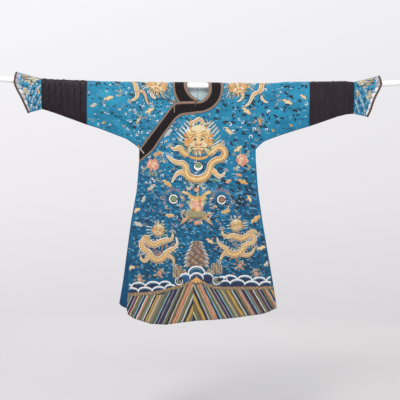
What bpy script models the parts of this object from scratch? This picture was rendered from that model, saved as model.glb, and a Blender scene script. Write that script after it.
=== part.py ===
# Dragon robe hung on a round rod, each cut piece a thin-walled solid of its own.
# Metres, +Z up. The origin is the middle of the rod's axis, the front faces -Y, and the
# wearer's left side lies towards +X.
# A place on the cloth is given flat, as x and as v, the way down the cloth from the shoulder
# fold, and "place" hangs it over the rod.

import math
import bmesh
import bpy
from mathutils import Vector

# Driving dimensions
CLOTH = 0.0016            # woven face, embroidery ground and lining together
BAND = 0.0012             # satin and brocade strips
SEAM = 0.0003             # gap between neighbouring pieces
BAND_GAP = 0.0009         # between a strip and the panel that it lies on
OVERLAP_LIFT = 0.0044     # the overlap lies this far outside the under front
ROD_RADIUS = 0.016
ROD_HALF = 1.160
ROD_RISE = 0.0285         # the rod bows: its ends stand this far above its middle
WRAP_RADIUS = 0.0178      # middle of the cloth where it bends over the rod
WRAP_ANGLES = [math.radians(a) for a in (15, 45, 75)]
SEAM_HALF = 0.00095       # half the distance between front and back at a closed seam
SEAM_ROOM = 0.150         # the hollow reaches its full depth this far from a seam
BODY_SWELL = 0.011        # extra half depth of the body near the hem
LEFT_RISE = 0.008         # the left sleeve's fold stands this far above the rod
UNDERARM = -0.362
COLUMNS = 10              # cells across half the body
SLEEVE_COLUMNS = 7
BODY_ROWS = 21            # cells from the underarm to the hem
UNDERLAP = 0.030          # the under front runs this far past the centre
PLEATS = 7
PLEAT_STEPS = (0.0, 0.87, 0.87)
CUFF_STEPS = 4
CUFF_EDGE = 0.014
SHANK_RADIUS = 0.002
BALL_RADIUS = 0.0056
CORD_RADIUS = 0.0015
FRONT, BACK = -1, 1
LEFT, RIGHT = 1, -1

# height, half width on the wearer's right, half width on the wearer's left
SIDE_LINE = (
    (-1.300, 0.436, 0.466),
    (-1.243, 0.434, 0.461),
    (-1.111, 0.413, 0.439),
    (-0.940, 0.392, 0.408),
    (-0.769, 0.371, 0.377),
    (-0.597, 0.341, 0.351),
    (-0.426, 0.329, 0.336),
    (UNDERARM, 0.330, 0.334),
    (0.050, 0.330, 0.334),
)

# distance from the centre, height of the sleeve's lower edge on the right, on the left
SLEEVE_LINE = (
    (0.330, UNDERARM, UNDERARM),
    (0.350, -0.343, -0.342),
    (0.376, -0.325, -0.317),
    (0.404, -0.307, -0.304),
    (0.490, -0.275, -0.272),
    (0.560, -0.249, -0.249),
    (0.634, -0.227, -0.226),
    (0.700, -0.203, -0.203),
    (0.750, -0.186, -0.185),
    (0.800, -0.168, -0.167),
    (0.850, -0.152, -0.154),
    (0.890, -0.141, -0.150),
)

# distance from the centre, height of the hem of the left front, the overlap, the under
# front, the left back and the right back
HEM_LINE = (
    (0.000, -1.335, -1.335, -1.308, -1.322, -1.322),
    (0.091, -1.329, -1.348, -1.308, -1.320, -1.320),
    (0.165, -1.323, -1.359, -1.306, -1.316, -1.316),
    (0.251, -1.313, -1.354, -1.300, -1.303, -1.308),
    (0.350, -1.298, -1.325, -1.284, -1.288, -1.290),
    (0.380, -1.292, -1.308, -1.273, -1.283, -1.276),
    (0.389, -1.290, -1.278, -1.271, -1.281, -1.273),
    (0.420, -1.281, -1.270, -1.260, -1.273, -1.260),
    (0.434, -1.274, -1.270, -1.246, -1.268, -1.246),
    (0.463, -1.262, -1.270, -1.240, -1.258, -1.240),
)
HEM_OF = {"left_front": 1, "overlap_front": 2, "right_front": 3, "left_back": 4, "right_back": 5}

# height, half width of the overlap where its side edge hangs free
OVERLAP_SIDE = (
    (-1.300, 0.389),
    (-1.168, 0.388),
    (-1.025, 0.382),
    (-0.940, 0.389),
    (-0.769, 0.370),
    (-0.597, 0.340),
    (-0.426, 0.328),
    (UNDERARM, 0.328),
    (0.050, 0.328),
)

# distance from the centre, height of the overlap's upper edge
OVERLAP_TOP = (
    (0.000, -0.0944),
    (0.060, -0.0960),
    (0.097, -0.0985),
    (0.119, -0.1020),
    (0.135, -0.1120),
    (0.152, -0.1310),
    (0.328, -0.3680),
)

# way down the cloth, distance of the under front's neck edge from the centre
RIGHT_NECK_EDGE = (
    (0.0000, 0.0635),
    (0.0230, 0.0650),
    (0.0450, 0.0645),
    (0.0713, 0.0530),
    (0.0945, 0.0300),
    (0.1103, -0.0120),
    (0.1190, -UNDERLAP),
)

# distance across at the widest, depth below the neck's middle line, depth behind the
# shoulder: the four edge curves of the band round the neck, from the neck outwards
NECK_MIDDLE = 0.045
NECK_TOP = 0.160
NECK_CURVES = (
    (0.0620, 0.0740, 0.014),
    (0.0810, 0.0876, 0.032),
    (0.1320, 0.1306, 0.082),
    (0.1450, 0.1426, 0.095),
)

# the same four curves on the under front, where the neck edge is cut straighter
RIGHT_NECK_MIDDLE = 0.030
RIGHT_NECK_POWER = 1.6
RIGHT_NECK_CURVES = (
    (0.0600, 0.0720, RIGHT_NECK_POWER),
    (0.0790, 0.0900, RIGHT_NECK_POWER),
    (0.1290, 0.1420, 2.0),
    (0.1420, 0.1550, 2.0),
)

# the overlap's band past the centre seam: x and height of its free edge, x and height of
# its other edge, width of the trim on the free edge and on the other
BAND_STATIONS = (
    (-0.0200, -0.0912, -0.0220, -0.1645, 0.0140, 0.0130),
    (-0.0600, -0.0930, -0.0520, -0.1685, 0.0140, 0.0130),
    (-0.0970, -0.0950, -0.0820, -0.1725, 0.0135, 0.0130),
    (-0.1190, -0.0985, -0.1010, -0.1800, 0.0130, 0.0125),
    (-0.1350, -0.1080, -0.1130, -0.1880, 0.0120, 0.0120),
    (-0.1540, -0.1300, -0.1200, -0.1940, 0.0100, 0.0110),
    (-0.1780, -0.1620, -0.1290, -0.2040, 0.0092, 0.0100),
    (-0.2040, -0.1970, -0.1550, -0.2400, 0.0090, 0.0100),
    (-0.2300, -0.2330, -0.1800, -0.2730, 0.0090, 0.0100),
    (-0.2560, -0.2680, -0.2040, -0.3080, 0.0090, 0.0100),
    (-0.2810, -0.3020, -0.2250, -0.3400, 0.0090, 0.0100),
    (-0.3050, -0.3340, -0.2450, -0.3690, 0.0090, 0.0100),
    (-0.3250, -0.3600, -0.2680, -0.3910, 0.0090, 0.0100),
)
# where the band runs out at the side seam, with no trim on the side edge
BAND_END = (
    (-0.3280, -0.3900, -0.2960, -0.4150, 0.0, 0.0100),
    (-0.3280, -0.4200, -0.3270, -0.4390, 0.0, 0.0100),
)

# x and height where a fold starts and ends, half width, height of the ridge (a trough is
# negative), and whether it dies away again at its end
FRONT_FOLDS = (
    (-0.215, -0.620, -0.262, -1.360, 0.050, 0.0060, False),
    (-0.090, -0.820, -0.105, -1.360, 0.046, -0.0042, False),
    (0.105, -0.720, 0.125, -1.360, 0.050, 0.0052, False),
    (0.235, -0.600, 0.300, -1.340, 0.052, -0.0062, False),
    (0.360, -0.900, 0.392, -1.320, 0.040, 0.0050, False),
    (-0.340, -0.860, -0.368, -1.320, 0.036, -0.0036, False),
    (0.300, -0.370, 0.205, -0.620, 0.046, 0.0042, True),
    (0.500, -0.045, 0.392, -0.262, 0.040, 0.0034, True),
    (-0.520, -0.040, -0.400, -0.262, 0.040, 0.0034, True),
)
BACK_FOLDS = (
    (-0.300, -0.560, -0.345, -1.320, 0.050, -0.0052, False),
    (-0.170, -0.700, -0.196, -1.340, 0.052, 0.0064, False),
    (-0.030, -0.900, -0.030, -1.340, 0.048, -0.0044, False),
    (0.120, -0.640, 0.148, -1.340, 0.050, 0.0056, False),
    (0.270, -0.760, 0.322, -1.320, 0.050, -0.0060, False),
    (-0.290, -0.370, -0.190, -0.640, 0.046, 0.0040, True),
    (0.285, -0.370, 0.200, -0.600, 0.046, 0.0040, True),
    (0.480, -0.050, 0.396, -0.262, 0.040, 0.0032, True),
    (-0.470, -0.050, -0.392, -0.262, 0.040, 0.0032, True),
)

# side of the body, where the dark sleeve band starts and ends, height of its pleats, and
# the cuff's mouth from its lower to its upper corner as (x, height) pairs
SLEEVE_ENDS = (
    ("right", RIGHT, 0.6290, 0.8860, 0.0024,
     ((0.9660, -0.1650), (0.9860, -0.1200), (1.0040, -0.0800), (1.0230, -0.0460),
      (1.0390, -0.0120), (1.0440, 0.0160), (1.0350, 0.0680))),
    ("left", LEFT, 0.6370, 0.8900, 0.0014,
     ((0.9730, -0.1670), (0.9880, -0.1320), (1.0010, -0.0880), (1.0160, -0.0500),
      (1.0370, -0.0080), (1.0450, 0.0240), (1.0340, 0.0680))),
)

# name, x and height of the ball, x and height of the far end of its loop, and whether the
# loop is sewn on the overlap's band or on the under front
FASTENINGS = (
    ("neck", -0.0110, -0.0862, -0.0110, -0.1180, "band"),
    ("collar", -0.1310, -0.0900, -0.1700, -0.0900, "under"),
    ("underarm", -0.3330, -0.3480, -0.3020, -0.3900, "band"),
)

# red, green, blue as stored values, roughness, metallic
FINISHES = {
    "blue_silk": (0.09, 0.26, 0.38, 0.62, 0.0),
    "dark_silk": (0.028, 0.020, 0.026, 0.58, 0.0),
    "black_satin": (0.020, 0.016, 0.020, 0.45, 0.0),
    "brocade": (0.33, 0.24, 0.19, 0.60, 0.0),
    "dark_brocade": (0.10, 0.075, 0.065, 0.60, 0.0),
    "gilt": (0.80, 0.58, 0.28, 0.30, 1.0),
    "cord": (0.60, 0.50, 0.42, 0.65, 0.0),
    "white_paint": (0.86, 0.86, 0.86, 0.35, 0.0),
}


def between(table, key, column):
    """Straight interpolation down a table whose first column is the key."""
    rows = sorted(table)
    if key <= rows[0][0]:
        return rows[0][column]
    for low, high in zip(rows, rows[1:]):
        if key <= high[0]:
            share = (key - low[0]) / (high[0] - low[0])
            return low[column] + share * (high[column] - low[column])
    return rows[-1][column]


def smooth(share):
    share = min(max(share, 0.0), 1.0)
    return share * share * (3.0 - 2.0 * share)


def rod_height(x):
    """Height of the rod's axis, which bows down under the robe."""
    return ROD_RISE * abs(x / ROD_HALF) ** 3


def fold_top(x):
    """Height that the shoulder fold is bent about; on the left sleeve it stands off the rod."""
    stands = smooth((x - 0.40) / 0.12) * (1.0 - smooth((x - 0.83) / 0.06))
    return rod_height(x) + LEFT_RISE * stands


# Way down the cloth of each bend over the rod. The first stretch is half of a flat facet.
HALF_FACET = WRAP_RADIUS * math.sin(WRAP_ANGLES[0])
WRAP_STEPS = [0.0] + [HALF_FACET * (1 + 2 * i) for i in range(len(WRAP_ANGLES))]
WRAP_END = WRAP_STEPS[-1]
HANG_START = WRAP_END + WRAP_RADIUS * math.cos(WRAP_ANGLES[-1])
HANG_DEPTH = WRAP_RADIUS * math.sin(WRAP_ANGLES[-1])


def way_down(x, height):
    """Way down the cloth of a hanging place, from its height."""
    return HANG_START + fold_top(x) - height


def seam_distance(x, height):
    """Distance from the nearest closed edge: side seam or lower edge of the sleeve."""
    column = 1 if x < 0 else 2
    to_side = between(SIDE_LINE, height, column) - abs(x)
    to_sleeve_edge = height - between(SLEEVE_LINE, abs(x), column)
    return math.hypot(max(to_side, 0.0), max(to_sleeve_edge, 0.0))


def fold_depth(x, height, folds):
    total = 0.0
    for x0, z0, x1, z1, half_width, ridge, dies in folds:
        run = Vector((x1 - x0, z1 - z0))
        offset = Vector((x - x0, height - z0))
        share = offset.dot(run) / run.length_squared
        aside = (run.x * offset.y - run.y * offset.x) / run.length
        along = math.sin(math.pi * share) if dies else smooth(share)
        if 0.0 < share and (share < 1.0 or not dies):
            total += ridge * along * math.exp(-(aside / half_width) ** 2)
    return total


def hollow(x, height, face):
    """Half depth of the hollow garment at a hanging place, folds included."""
    room = seam_distance(x, height)
    depth = HANG_DEPTH + BODY_SWELL * smooth((-height - 0.30) / 0.60)
    rise = 1.0 - (1.0 - min(room / SEAM_ROOM, 1.0)) ** 2
    folds = FRONT_FOLDS if face == FRONT else BACK_FOLDS
    return SEAM_HALF + (depth - SEAM_HALF) * rise + fold_depth(x, height, folds) * smooth(room / 0.1)


def place(x, v, face, lift=0.0):
    """Hangs a flat place over the rod; lift moves it outwards from the cloth's middle."""
    bends = [(0.0, (WRAP_RADIUS + lift) * math.cos(WRAP_ANGLES[0]))]
    for angle in WRAP_ANGLES:
        bends.append(((WRAP_RADIUS + lift) * math.sin(angle), (WRAP_RADIUS + lift) * math.cos(angle)))
    top = fold_top(x)
    for i in range(len(WRAP_ANGLES)):
        if v <= WRAP_STEPS[i + 1]:
            share = (v - WRAP_STEPS[i]) / (WRAP_STEPS[i + 1] - WRAP_STEPS[i])
            depth = bends[i][0] + share * (bends[i + 1][0] - bends[i][0])
            height = bends[i][1] + share * (bends[i + 1][1] - bends[i][1])
            return Vector((x, face * depth, top + height))
    height = top + HANG_START - v
    return Vector((x, face * (hollow(x, height, face) + lift), height))


def outer_lift(x, v):
    """How far the overlap, and the left front beside it, stand off the under front."""
    across = 1.0 - smooth((x - UNDERLAP - 0.006) / 0.110)
    down = smooth((v - 0.025) / 0.075)
    return OVERLAP_LIFT * across * down


def place_outer(x, v, lift=0.0):
    return place(x, v, FRONT, lift + outer_lift(x, v))


def place_under(x, v, lift=0.0):
    return place(x, v, FRONT, lift)


def place_back(x, v, lift=0.0):
    return place(x, v, BACK, lift)


def finish_material(name):
    material = bpy.data.materials.get(name)
    if material is None:
        red, green, blue, roughness, metallic = FINISHES[name]
        material = bpy.data.materials.new(name)
        material.use_nodes = True
        shader = material.node_tree.nodes["Principled BSDF"]
        shader.inputs["Base Color"].default_value = (red, green, blue, 1.0)
        shader.inputs["Roughness"].default_value = roughness
        shader.inputs["Metallic"].default_value = metallic
        material.diffuse_color = (red, green, blue, 1.0)
    return material


def add_object(name, data, finish):
    item = bpy.data.objects.new(name, data)
    bpy.data.collections["dragon_robe"].objects.link(item)
    data.materials.append(finish_material(finish))
    return item


def add_mesh(name, points, faces, finish):
    mesh = bpy.data.meshes.new(name)
    mesh.from_pydata([tuple(p) for p in points], [], faces)
    mesh.shade_smooth()
    return add_object(name, mesh, finish)


def add_wall(sheet, thickness):
    wall = sheet.modifiers.new("wall", 'SOLIDIFY')
    wall.thickness = thickness
    wall.offset = 0.0
    wall.use_rim = True


def add_sheet(name, rows, face, thickness, finish):
    """A grid of points, whose rows may differ in length, thickened to a wall."""
    starts = []
    points = []
    for row in rows:
        starts.append(len(points))
        points.extend(row)
    faces = []
    for r in range(len(rows) - 1):
        for i in range(min(len(rows[r]), len(rows[r + 1])) - 1):
            a, b = starts[r] + i, starts[r + 1] + i
            faces.append((a, a + 1, b + 1, b))
    # The faces look outwards: towards -Y on the front and +Y on the back.
    across = rows[-2][1] - rows[-2][0]
    down = rows[-1][0] - rows[-2][0]
    if down.cross(across).y * face < 0.0:
        faces = [f[::-1] for f in faces]
    add_wall(add_mesh(name, points, faces, finish), thickness)


# Body panels

def left_neck_edge(v):
    if v < NECK_MIDDLE:
        return 0.065 * math.sqrt(1.0 - ((NECK_MIDDLE - v) / NECK_TOP) ** 2)
    return 0.065 * math.sqrt(max(1.0 - ((v - NECK_MIDDLE) / 0.077) ** 2, 0.0))


def right_neck_edge(v):
    return between(RIGHT_NECK_EDGE, v, 1)


def back_neck_edge(v):
    return 0.0625 * math.sqrt(max(1.0 - (v / 0.018) ** 2, 0.0))


def panel_levels(face):
    """Ways down the cloth of the rows above the underarm."""
    if face == FRONT:
        neck = [NECK_MIDDLE + 0.077 * math.sin(math.radians(a)) for a in (0, 20, 40, 58, 74, 90)]
        heights = (-0.125, -0.160, -0.200, -0.240, -0.280, -0.320)
        wrap = [SEAM / 2] + WRAP_STEPS[1:]
    else:
        neck = []
        heights = (-0.020, -0.055, -0.090, -0.125, -0.160, -0.200, -0.240, -0.280, -0.320)
        wrap = [SEAM / 2, WRAP_STEPS[1], 2 * WRAP_STEPS[1], WRAP_STEPS[2], 0.018, WRAP_END]
    return wrap + neck + [HANG_START - height for height in heights] + [HANG_START - UNDERARM]


def panel_rows(side, face, hem_column, neck_edge, centre, placer):
    """Rows of a half of the body with its upper sleeve, from the shoulder to the hem."""
    column = 1 if side == RIGHT else 2
    sleeve_end = next(e[2] for e in SLEEVE_ENDS if e[1] == side) - SEAM / 2
    levels = panel_levels(face)
    underarm_x = between(SIDE_LINE, UNDERARM, column)
    rows = []
    for v in levels:
        inner = max(neck_edge(v), centre)
        row = []
        for i in range(COLUMNS + 1):
            x = inner + (underarm_x - inner) * i / COLUMNS
            down = v if v <= WRAP_END else v + fold_top(side * x)
            row.append(placer(side * x, down))
        share = max((v - HANG_START) / (HANG_START - UNDERARM - HANG_START), 0.0)
        for k in range(1, SLEEVE_COLUMNS + 1):
            x = underarm_x + (sleeve_end - underarm_x) * k / SLEEVE_COLUMNS
            lower_edge = between(SLEEVE_LINE, x, column)
            if v <= WRAP_END:
                row.append(placer(side * x, v))
            else:
                height = fold_top(side * x) * (1.0 - share) + lower_edge * share
                row.append(placer(side * x, way_down(side * x, height)))
        rows.append(row)
    corner = -1.262 if side == LEFT else -1.243
    for r in range(1, BODY_ROWS + 1):
        share = r / BODY_ROWS
        side_x = between(SIDE_LINE, UNDERARM + (corner - UNDERARM) * share, column)
        corner_x = between(SIDE_LINE, corner, column)
        row = []
        for i in range(COLUMNS + 1):
            part = i / COLUMNS
            x = centre + (side_x - centre) * part
            hem = between(HEM_LINE, centre + (corner_x - centre) * part, hem_column)
            height = UNDERARM + (hem - UNDERARM) * share
            row.append(placer(side * x, way_down(side * x, height)))
        rows.append(row)
    return rows


def build_body():
    half_seam = SEAM / 2
    rows = panel_rows(LEFT, FRONT, HEM_OF["left_front"], left_neck_edge, half_seam, place_outer)
    add_sheet("left_front", rows, FRONT, CLOTH, "blue_silk")
    rows = panel_rows(LEFT, BACK, HEM_OF["left_back"], back_neck_edge, half_seam, place_back)
    add_sheet("left_back", rows, BACK, CLOTH, "blue_silk")
    rows = panel_rows(RIGHT, FRONT, HEM_OF["right_front"], right_neck_edge, -UNDERLAP, place_under)
    add_sheet("right_front", rows, FRONT, CLOTH, "blue_silk")
    rows = panel_rows(RIGHT, BACK, HEM_OF["right_back"], back_neck_edge, half_seam, place_back)
    add_sheet("right_back", rows, BACK, CLOTH, "blue_silk")


def build_overlap():
    """The outer front's flap, from the centre seam to its free edge and side."""
    rows = []
    overlap_rows = 27
    for r in range(overlap_rows + 1):
        row = []
        for i in range(COLUMNS + 1):
            part = i / COLUMNS
            top = between(OVERLAP_TOP, 0.328 * part, 1)
            hem = between(HEM_LINE, SEAM / 2 + (0.389 - SEAM / 2) * part, HEM_OF["overlap_front"])
            height = top + (hem - top) * r / overlap_rows
            width = between(OVERLAP_SIDE, height, 1)
            x = SEAM / 2 + (width - SEAM / 2) * part
            row.append(place_outer(-x, way_down(x, height)))
        rows.append(row)
    add_sheet("overlap_front", rows, FRONT, CLOTH, "blue_silk")


# Bands and trims round the neck and along the overlap

def neck_curve(a, b, middle, power, angle):
    """A place on a neck curve below its middle line, at an angle from the side."""
    across = a * math.cos(angle) ** (2.0 / power)
    down = middle + b * math.sin(angle) ** (2.0 / power)
    return across, down


def left_neck_stations():
    """Flat places of the four neck curves, from the left shoulder to the centre seam."""
    stations = []
    for v in [SEAM / 2] + WRAP_STEPS[1:]:
        narrowing = math.sqrt(1.0 - ((NECK_MIDDLE - v) / NECK_TOP) ** 2)
        stations.append([(a * narrowing, v) for a, b, back in NECK_CURVES])
    for degrees in range(0, 90, 15):
        station = []
        for a, b, back in NECK_CURVES:
            station.append(neck_curve(a, b, NECK_MIDDLE, 2.0, math.radians(degrees)))
        stations.append(station)
    stations.append([(0.0, NECK_MIDDLE + b) for a, b, back in NECK_CURVES])
    return stations


def overlap_stations(table):
    stations = []
    for x0, z0, x1, z1, trim0, trim1 in table:
        free, other = Vector((x0, z0)), Vector((x1, z1))
        step = (other - free).normalized()
        corners = (free, free + step * trim0, other - step * trim1, other)
        stations.append([(c.x, way_down(c.x, c.y)) for c in corners])
    return stations


def right_neck_stations():
    """From the right shoulder down the under front, to where the overlap hides it."""
    stations = []
    for v in [SEAM / 2] + WRAP_STEPS[1:]:
        narrowing = math.sqrt(1.0 - ((RIGHT_NECK_MIDDLE - v) / NECK_TOP) ** 2)
        stations.append([(-a * narrowing, v) for a, b, power in RIGHT_NECK_CURVES])
    for degrees in (0, 14, 28, 42, 56, 70, 84):
        station = []
        for a, b, power in RIGHT_NECK_CURVES:
            across, down = neck_curve(a, b, RIGHT_NECK_MIDDLE, power, math.radians(degrees))
            station.append((-across, down))
        stations.append(station)
    return stations


def back_neck_stations():
    """Round the back of the neck from the right shoulder to the left."""
    shoulder = math.sqrt(1.0 - (NECK_MIDDLE / NECK_TOP) ** 2)
    start = math.radians(2)
    stations = []
    for i in range(15):
        angle = start + (math.pi - 2 * start) * i / 14
        station = []
        for a, b, back in NECK_CURVES:
            station.append((-a * shoulder * math.cos(angle), back * math.sin(angle)))
        stations.append(station)
    return stations


def add_strip(name, stations, inner, outer, cells, placer, finish):
    """A strip between two of the four curves, on the outside of the panel's own form."""
    lift = CLOTH / 2 + BAND_GAP + BAND / 2
    flat = bmesh.new()
    rows = []
    for station in stations:
        start, end = Vector(station[inner]), Vector(station[outer])
        step = (end - start).normalized() * (SEAM / 2)
        start, end = start + step, end - step
        rows.append([flat.verts.new((*start.lerp(end, i / cells), 0.0)) for i in range(cells + 1)])
    for low, high in zip(rows, rows[1:]):
        for i in range(cells):
            flat.faces.new((low[i], low[i + 1], high[i + 1], high[i]))
    for bend in WRAP_STEPS[1:]:
        geometry = flat.verts[:] + flat.edges[:] + flat.faces[:]
        bmesh.ops.bisect_plane(
            flat, geom=geometry, dist=1e-6, plane_co=(0.0, bend, 0.0), plane_no=(0.0, 1.0, 0.0))
    for vert in flat.verts:
        vert.co = placer(vert.co.x, vert.co.y, lift)
    bmesh.ops.recalc_face_normals(flat, faces=flat.faces[:])
    hanging = min(flat.faces, key=lambda f: f.calc_center_median().z)
    if hanging.normal.y * (BACK if placer is place_back else FRONT) < 0.0:
        bmesh.ops.reverse_faces(flat, faces=flat.faces[:])
    mesh = bpy.data.meshes.new(name)
    flat.to_mesh(mesh)
    flat.free()
    mesh.shade_smooth()
    strip = add_object(name, mesh, finish)
    add_wall(strip, BAND)


def build_bands():
    left = left_neck_stations()
    diagonal = overlap_stations(BAND_STATIONS)
    run_out = overlap_stations(BAND_END)
    front = left + diagonal
    add_strip("overlap_band", front + run_out, 1, 2, 3, place_outer, "black_satin")
    add_strip("overlap_band_inner_trim", front, 0, 1, 1, place_outer, "brocade")
    add_strip("overlap_band_outer_trim", front + run_out, 2, 3, 1, place_outer, "brocade")
    under = right_neck_stations()
    add_strip("right_neck_band", under, 1, 2, 3, place_under, "black_satin")
    add_strip("right_neck_inner_trim", under, 0, 1, 1, place_under, "brocade")
    add_strip("right_neck_outer_trim", under, 2, 3, 1, place_under, "brocade")
    back = back_neck_stations()
    add_strip("back_neck_band", back, 1, 2, 4, place_back, "black_satin")
    add_strip("back_neck_inner_trim", back, 0, 1, 1, place_back, "brocade")
    add_strip("back_neck_outer_trim", back, 2, 3, 1, place_back, "brocade")


# Sleeve bands and cuffs, each a tube right round the arm

TUBE_SHARES = (0.0, 0.10, 0.24, 0.40, 0.58, 0.77, 0.93)
TUBE_SEAM_HALF = 0.0016


def sleeve_section(side, x, lift):
    """Points (height, half depth) of the sleeve's section from the lower edge to the top."""
    column = 1 if side == RIGHT else 2
    lower_edge = between(SLEEVE_LINE, x, column)
    top = fold_top(side * x)
    section = []
    for share in TUBE_SHARES:
        height = lower_edge + (top - lower_edge) * share
        depth = max(hollow(side * x, height, FRONT), TUBE_SEAM_HALF) + lift
        section.append((height - (lift if share == 0.0 else 0.0), depth))
    for angle in reversed(WRAP_ANGLES):
        radius = WRAP_RADIUS + lift
        section.append((top + radius * math.cos(angle), radius * math.sin(angle)))
    return section


def ring_from(side, places):
    """A closed ring of points from (x, height, half depth), front upwards, then back."""
    front = [Vector((side * x, FRONT * depth, height)) for x, height, depth in places]
    back = [Vector((side * x, BACK * depth, height)) for x, height, depth in reversed(places)]
    return front + back


def add_tube(name, side, outer, inner, finish):
    """A wall between outer rings and inner rings, with closed rims at both ends."""
    count = len(outer[0])
    points = [p for ring in outer for p in ring] + [p for ring in inner for p in ring]
    base = len(outer) * count
    faces = []
    for r in range(len(outer) - 1):
        for i in range(count):
            j = (i + 1) % count
            faces.append((r * count + i, r * count + j, (r + 1) * count + j, (r + 1) * count + i))
    for r in range(len(inner) - 1):
        for i in range(count):
            j = (i + 1) % count
            low, high = base + r * count, base + (r + 1) * count
            faces.append((low + j, low + i, high + i, high + j))
    last, inner_last = (len(outer) - 1) * count, base + (len(inner) - 1) * count
    for i in range(count):
        j = (i + 1) % count
        faces.append((j, i, base + i, base + j))
        faces.append((last + i, last + j, inner_last + j, inner_last + i))
    # Seen from the body the rings run clockwise on the left and the other way on the right.
    if side == LEFT:
        faces = [f[::-1] for f in faces]
    return add_mesh(name, points, faces, finish)


def sleeve_ring(side, x, lift):
    return ring_from(side, [(x, height, depth) for height, depth in sleeve_section(side, x, lift)])


def build_sleeve_band(name, side, start, end, pleat):
    steps = PLEATS * len(PLEAT_STEPS)
    outer = []
    for i in range(steps + 1):
        x = start + SEAM / 2 + (end - start - SEAM) * i / steps
        raised = pleat * PLEAT_STEPS[i % len(PLEAT_STEPS)]
        outer.append(sleeve_ring(side, x, CLOTH / 2 + raised))
    inner = []
    for share in (0.0, 0.5, 1.0):
        x = start + SEAM / 2 + (end - start - SEAM) * share
        inner.append(sleeve_ring(side, x, -CLOTH / 2))
    add_tube(name + "_sleeve_band", side, outer, inner, "dark_silk")


def mouth_place(mouth, share):
    """A place along the cuff's mouth, by its share of the way from the lower corner."""
    lengths = [0.0]
    for a, b in zip(mouth, mouth[1:]):
        lengths.append(lengths[-1] + math.dist(a, b))
    target = share * lengths[-1]
    for i in range(len(mouth) - 1):
        if target <= lengths[i + 1] + 1e-9:
            part = (target - lengths[i]) / (lengths[i + 1] - lengths[i])
            return Vector(mouth[i]).lerp(Vector(mouth[i + 1]), part)
    return Vector(mouth[-1])


# share of the way up the mouth, half depth there, one row for each point of the section
MOUTH_ROWS = (
    (0.00, 0.0016), (0.10, 0.0085), (0.24, 0.0145), (0.40, 0.0180), (0.56, 0.0195),
    (0.70, 0.0195), (0.82, 0.0190), (0.92, 0.0150), (0.97, 0.0095), (1.00, 0.0035),
)


def cuff_ring(side, end, mouth, out, lift, edge_gap=0.0):
    """Ring at a share "out" of the way from the sleeve band to the mouth."""
    x0 = end + SEAM / 2
    places = []
    for (height, depth), (share, mouth_depth) in zip(sleeve_section(side, x0, 0.0), MOUTH_ROWS):
        far = mouth_place(mouth, share)
        start = Vector((x0, height))
        reach = (far - start).length
        part = out + edge_gap / reach
        flat = start.lerp(far, part)
        half = depth + (mouth_depth - depth) * min(part, 1.0) + lift
        if share == 0.0:
            flat.y -= lift
        if share > 0.9:
            flat.y += lift * (share - 0.9) * 10.0
            half -= lift * (share - 0.9) * 10.0
        places.append((flat.x, flat.y, half))
    return ring_from(side, places)


def build_cuff(name, side, end, mouth):
    outer = [cuff_ring(side, end, mouth, i / CUFF_STEPS, CLOTH / 2) for i in range(CUFF_STEPS + 1)]
    inner = [cuff_ring(side, end, mouth, i / CUFF_STEPS, -CLOTH / 2) for i in range(CUFF_STEPS + 1)]
    add_tube(name + "_cuff", side, outer, inner, "blue_silk")
    near = CLOTH / 2 + BAND_GAP
    spans = (-CUFF_EDGE, -CUFF_EDGE / 2, 0.001)
    outer = [cuff_ring(side, end, mouth, 1.0, near + BAND, span) for span in spans]
    inner = [cuff_ring(side, end, mouth, 1.0, near, span) for span in spans]
    add_tube(name + "_cuff_edging", side, outer, inner, "dark_brocade")


# Ball buttons with their cord loops

def on_ground(ground, x, height, lift):
    """A point a given distance outside the overlap's band, or outside the under front."""
    if ground == "under":
        return place_under(x, way_down(x, height), CLOTH / 2 + lift)
    return place_outer(x, way_down(x, height), CLOTH / 2 + BAND_GAP + BAND + lift)


def add_ball_button(name, x, height, ground):
    """A turned ball on a shank, whose foot stands on the under front or its neck trim."""
    centre = on_ground(ground, x, height, SEAM + 2 * CORD_RADIUS + SEAM + BALL_RADIUS)
    covered = BAND_GAP + BAND if name == "neck" else 0.0
    foot = on_ground("under", x, height, covered + SEAM)
    shank = foot.y - centre.y
    profile = [(0.0, shank), (SHANK_RADIUS, shank)]
    rounds = 7
    first = math.asin(SHANK_RADIUS / BALL_RADIUS)
    for i in range(rounds):
        angle = first + (math.pi - first) * i / rounds
        profile.append((BALL_RADIUS * math.sin(angle), BALL_RADIUS * math.cos(angle)))
    profile.append((0.0, -BALL_RADIUS))
    sides = 12
    points = [Vector((centre.x, foot.y, centre.z))]
    for radius, along in profile[1:-1]:
        for k in range(sides):
            turn = 2 * math.pi * k / sides
            points.append(centre + Vector((radius * math.cos(turn), along, radius * math.sin(turn))))
    points.append(Vector((centre.x, centre.y - BALL_RADIUS, centre.z)))
    faces = []
    for k in range(sides):
        n = (k + 1) % sides
        faces.append((0, 1 + n, 1 + k))
        for r in range(len(profile) - 3):
            a, b = 1 + r * sides, 1 + (r + 1) * sides
            faces.append((a + n, b + n, b + k, a + k))
        last = 1 + (len(profile) - 3) * sides
        faces.append((last + n, len(points) - 1, last + k))
    add_mesh(name + "_button", points, faces, "gilt")


def add_cord(name, flat, ground, closed):
    curve = bpy.data.curves.new(name, 'CURVE')
    curve.dimensions = '3D'
    curve.bevel_depth = CORD_RADIUS
    curve.bevel_resolution = 1
    curve.use_fill_caps = not closed
    spline = curve.splines.new('POLY')
    spline.points.add(len(flat) - 1)
    spline.use_cyclic_u = closed
    for point, spot in zip(spline.points, flat):
        point.co = (*on_ground(ground, spot.x, spot.y, CORD_RADIUS + SEAM), 1.0)
    add_object(name, curve, "cord")


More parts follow.
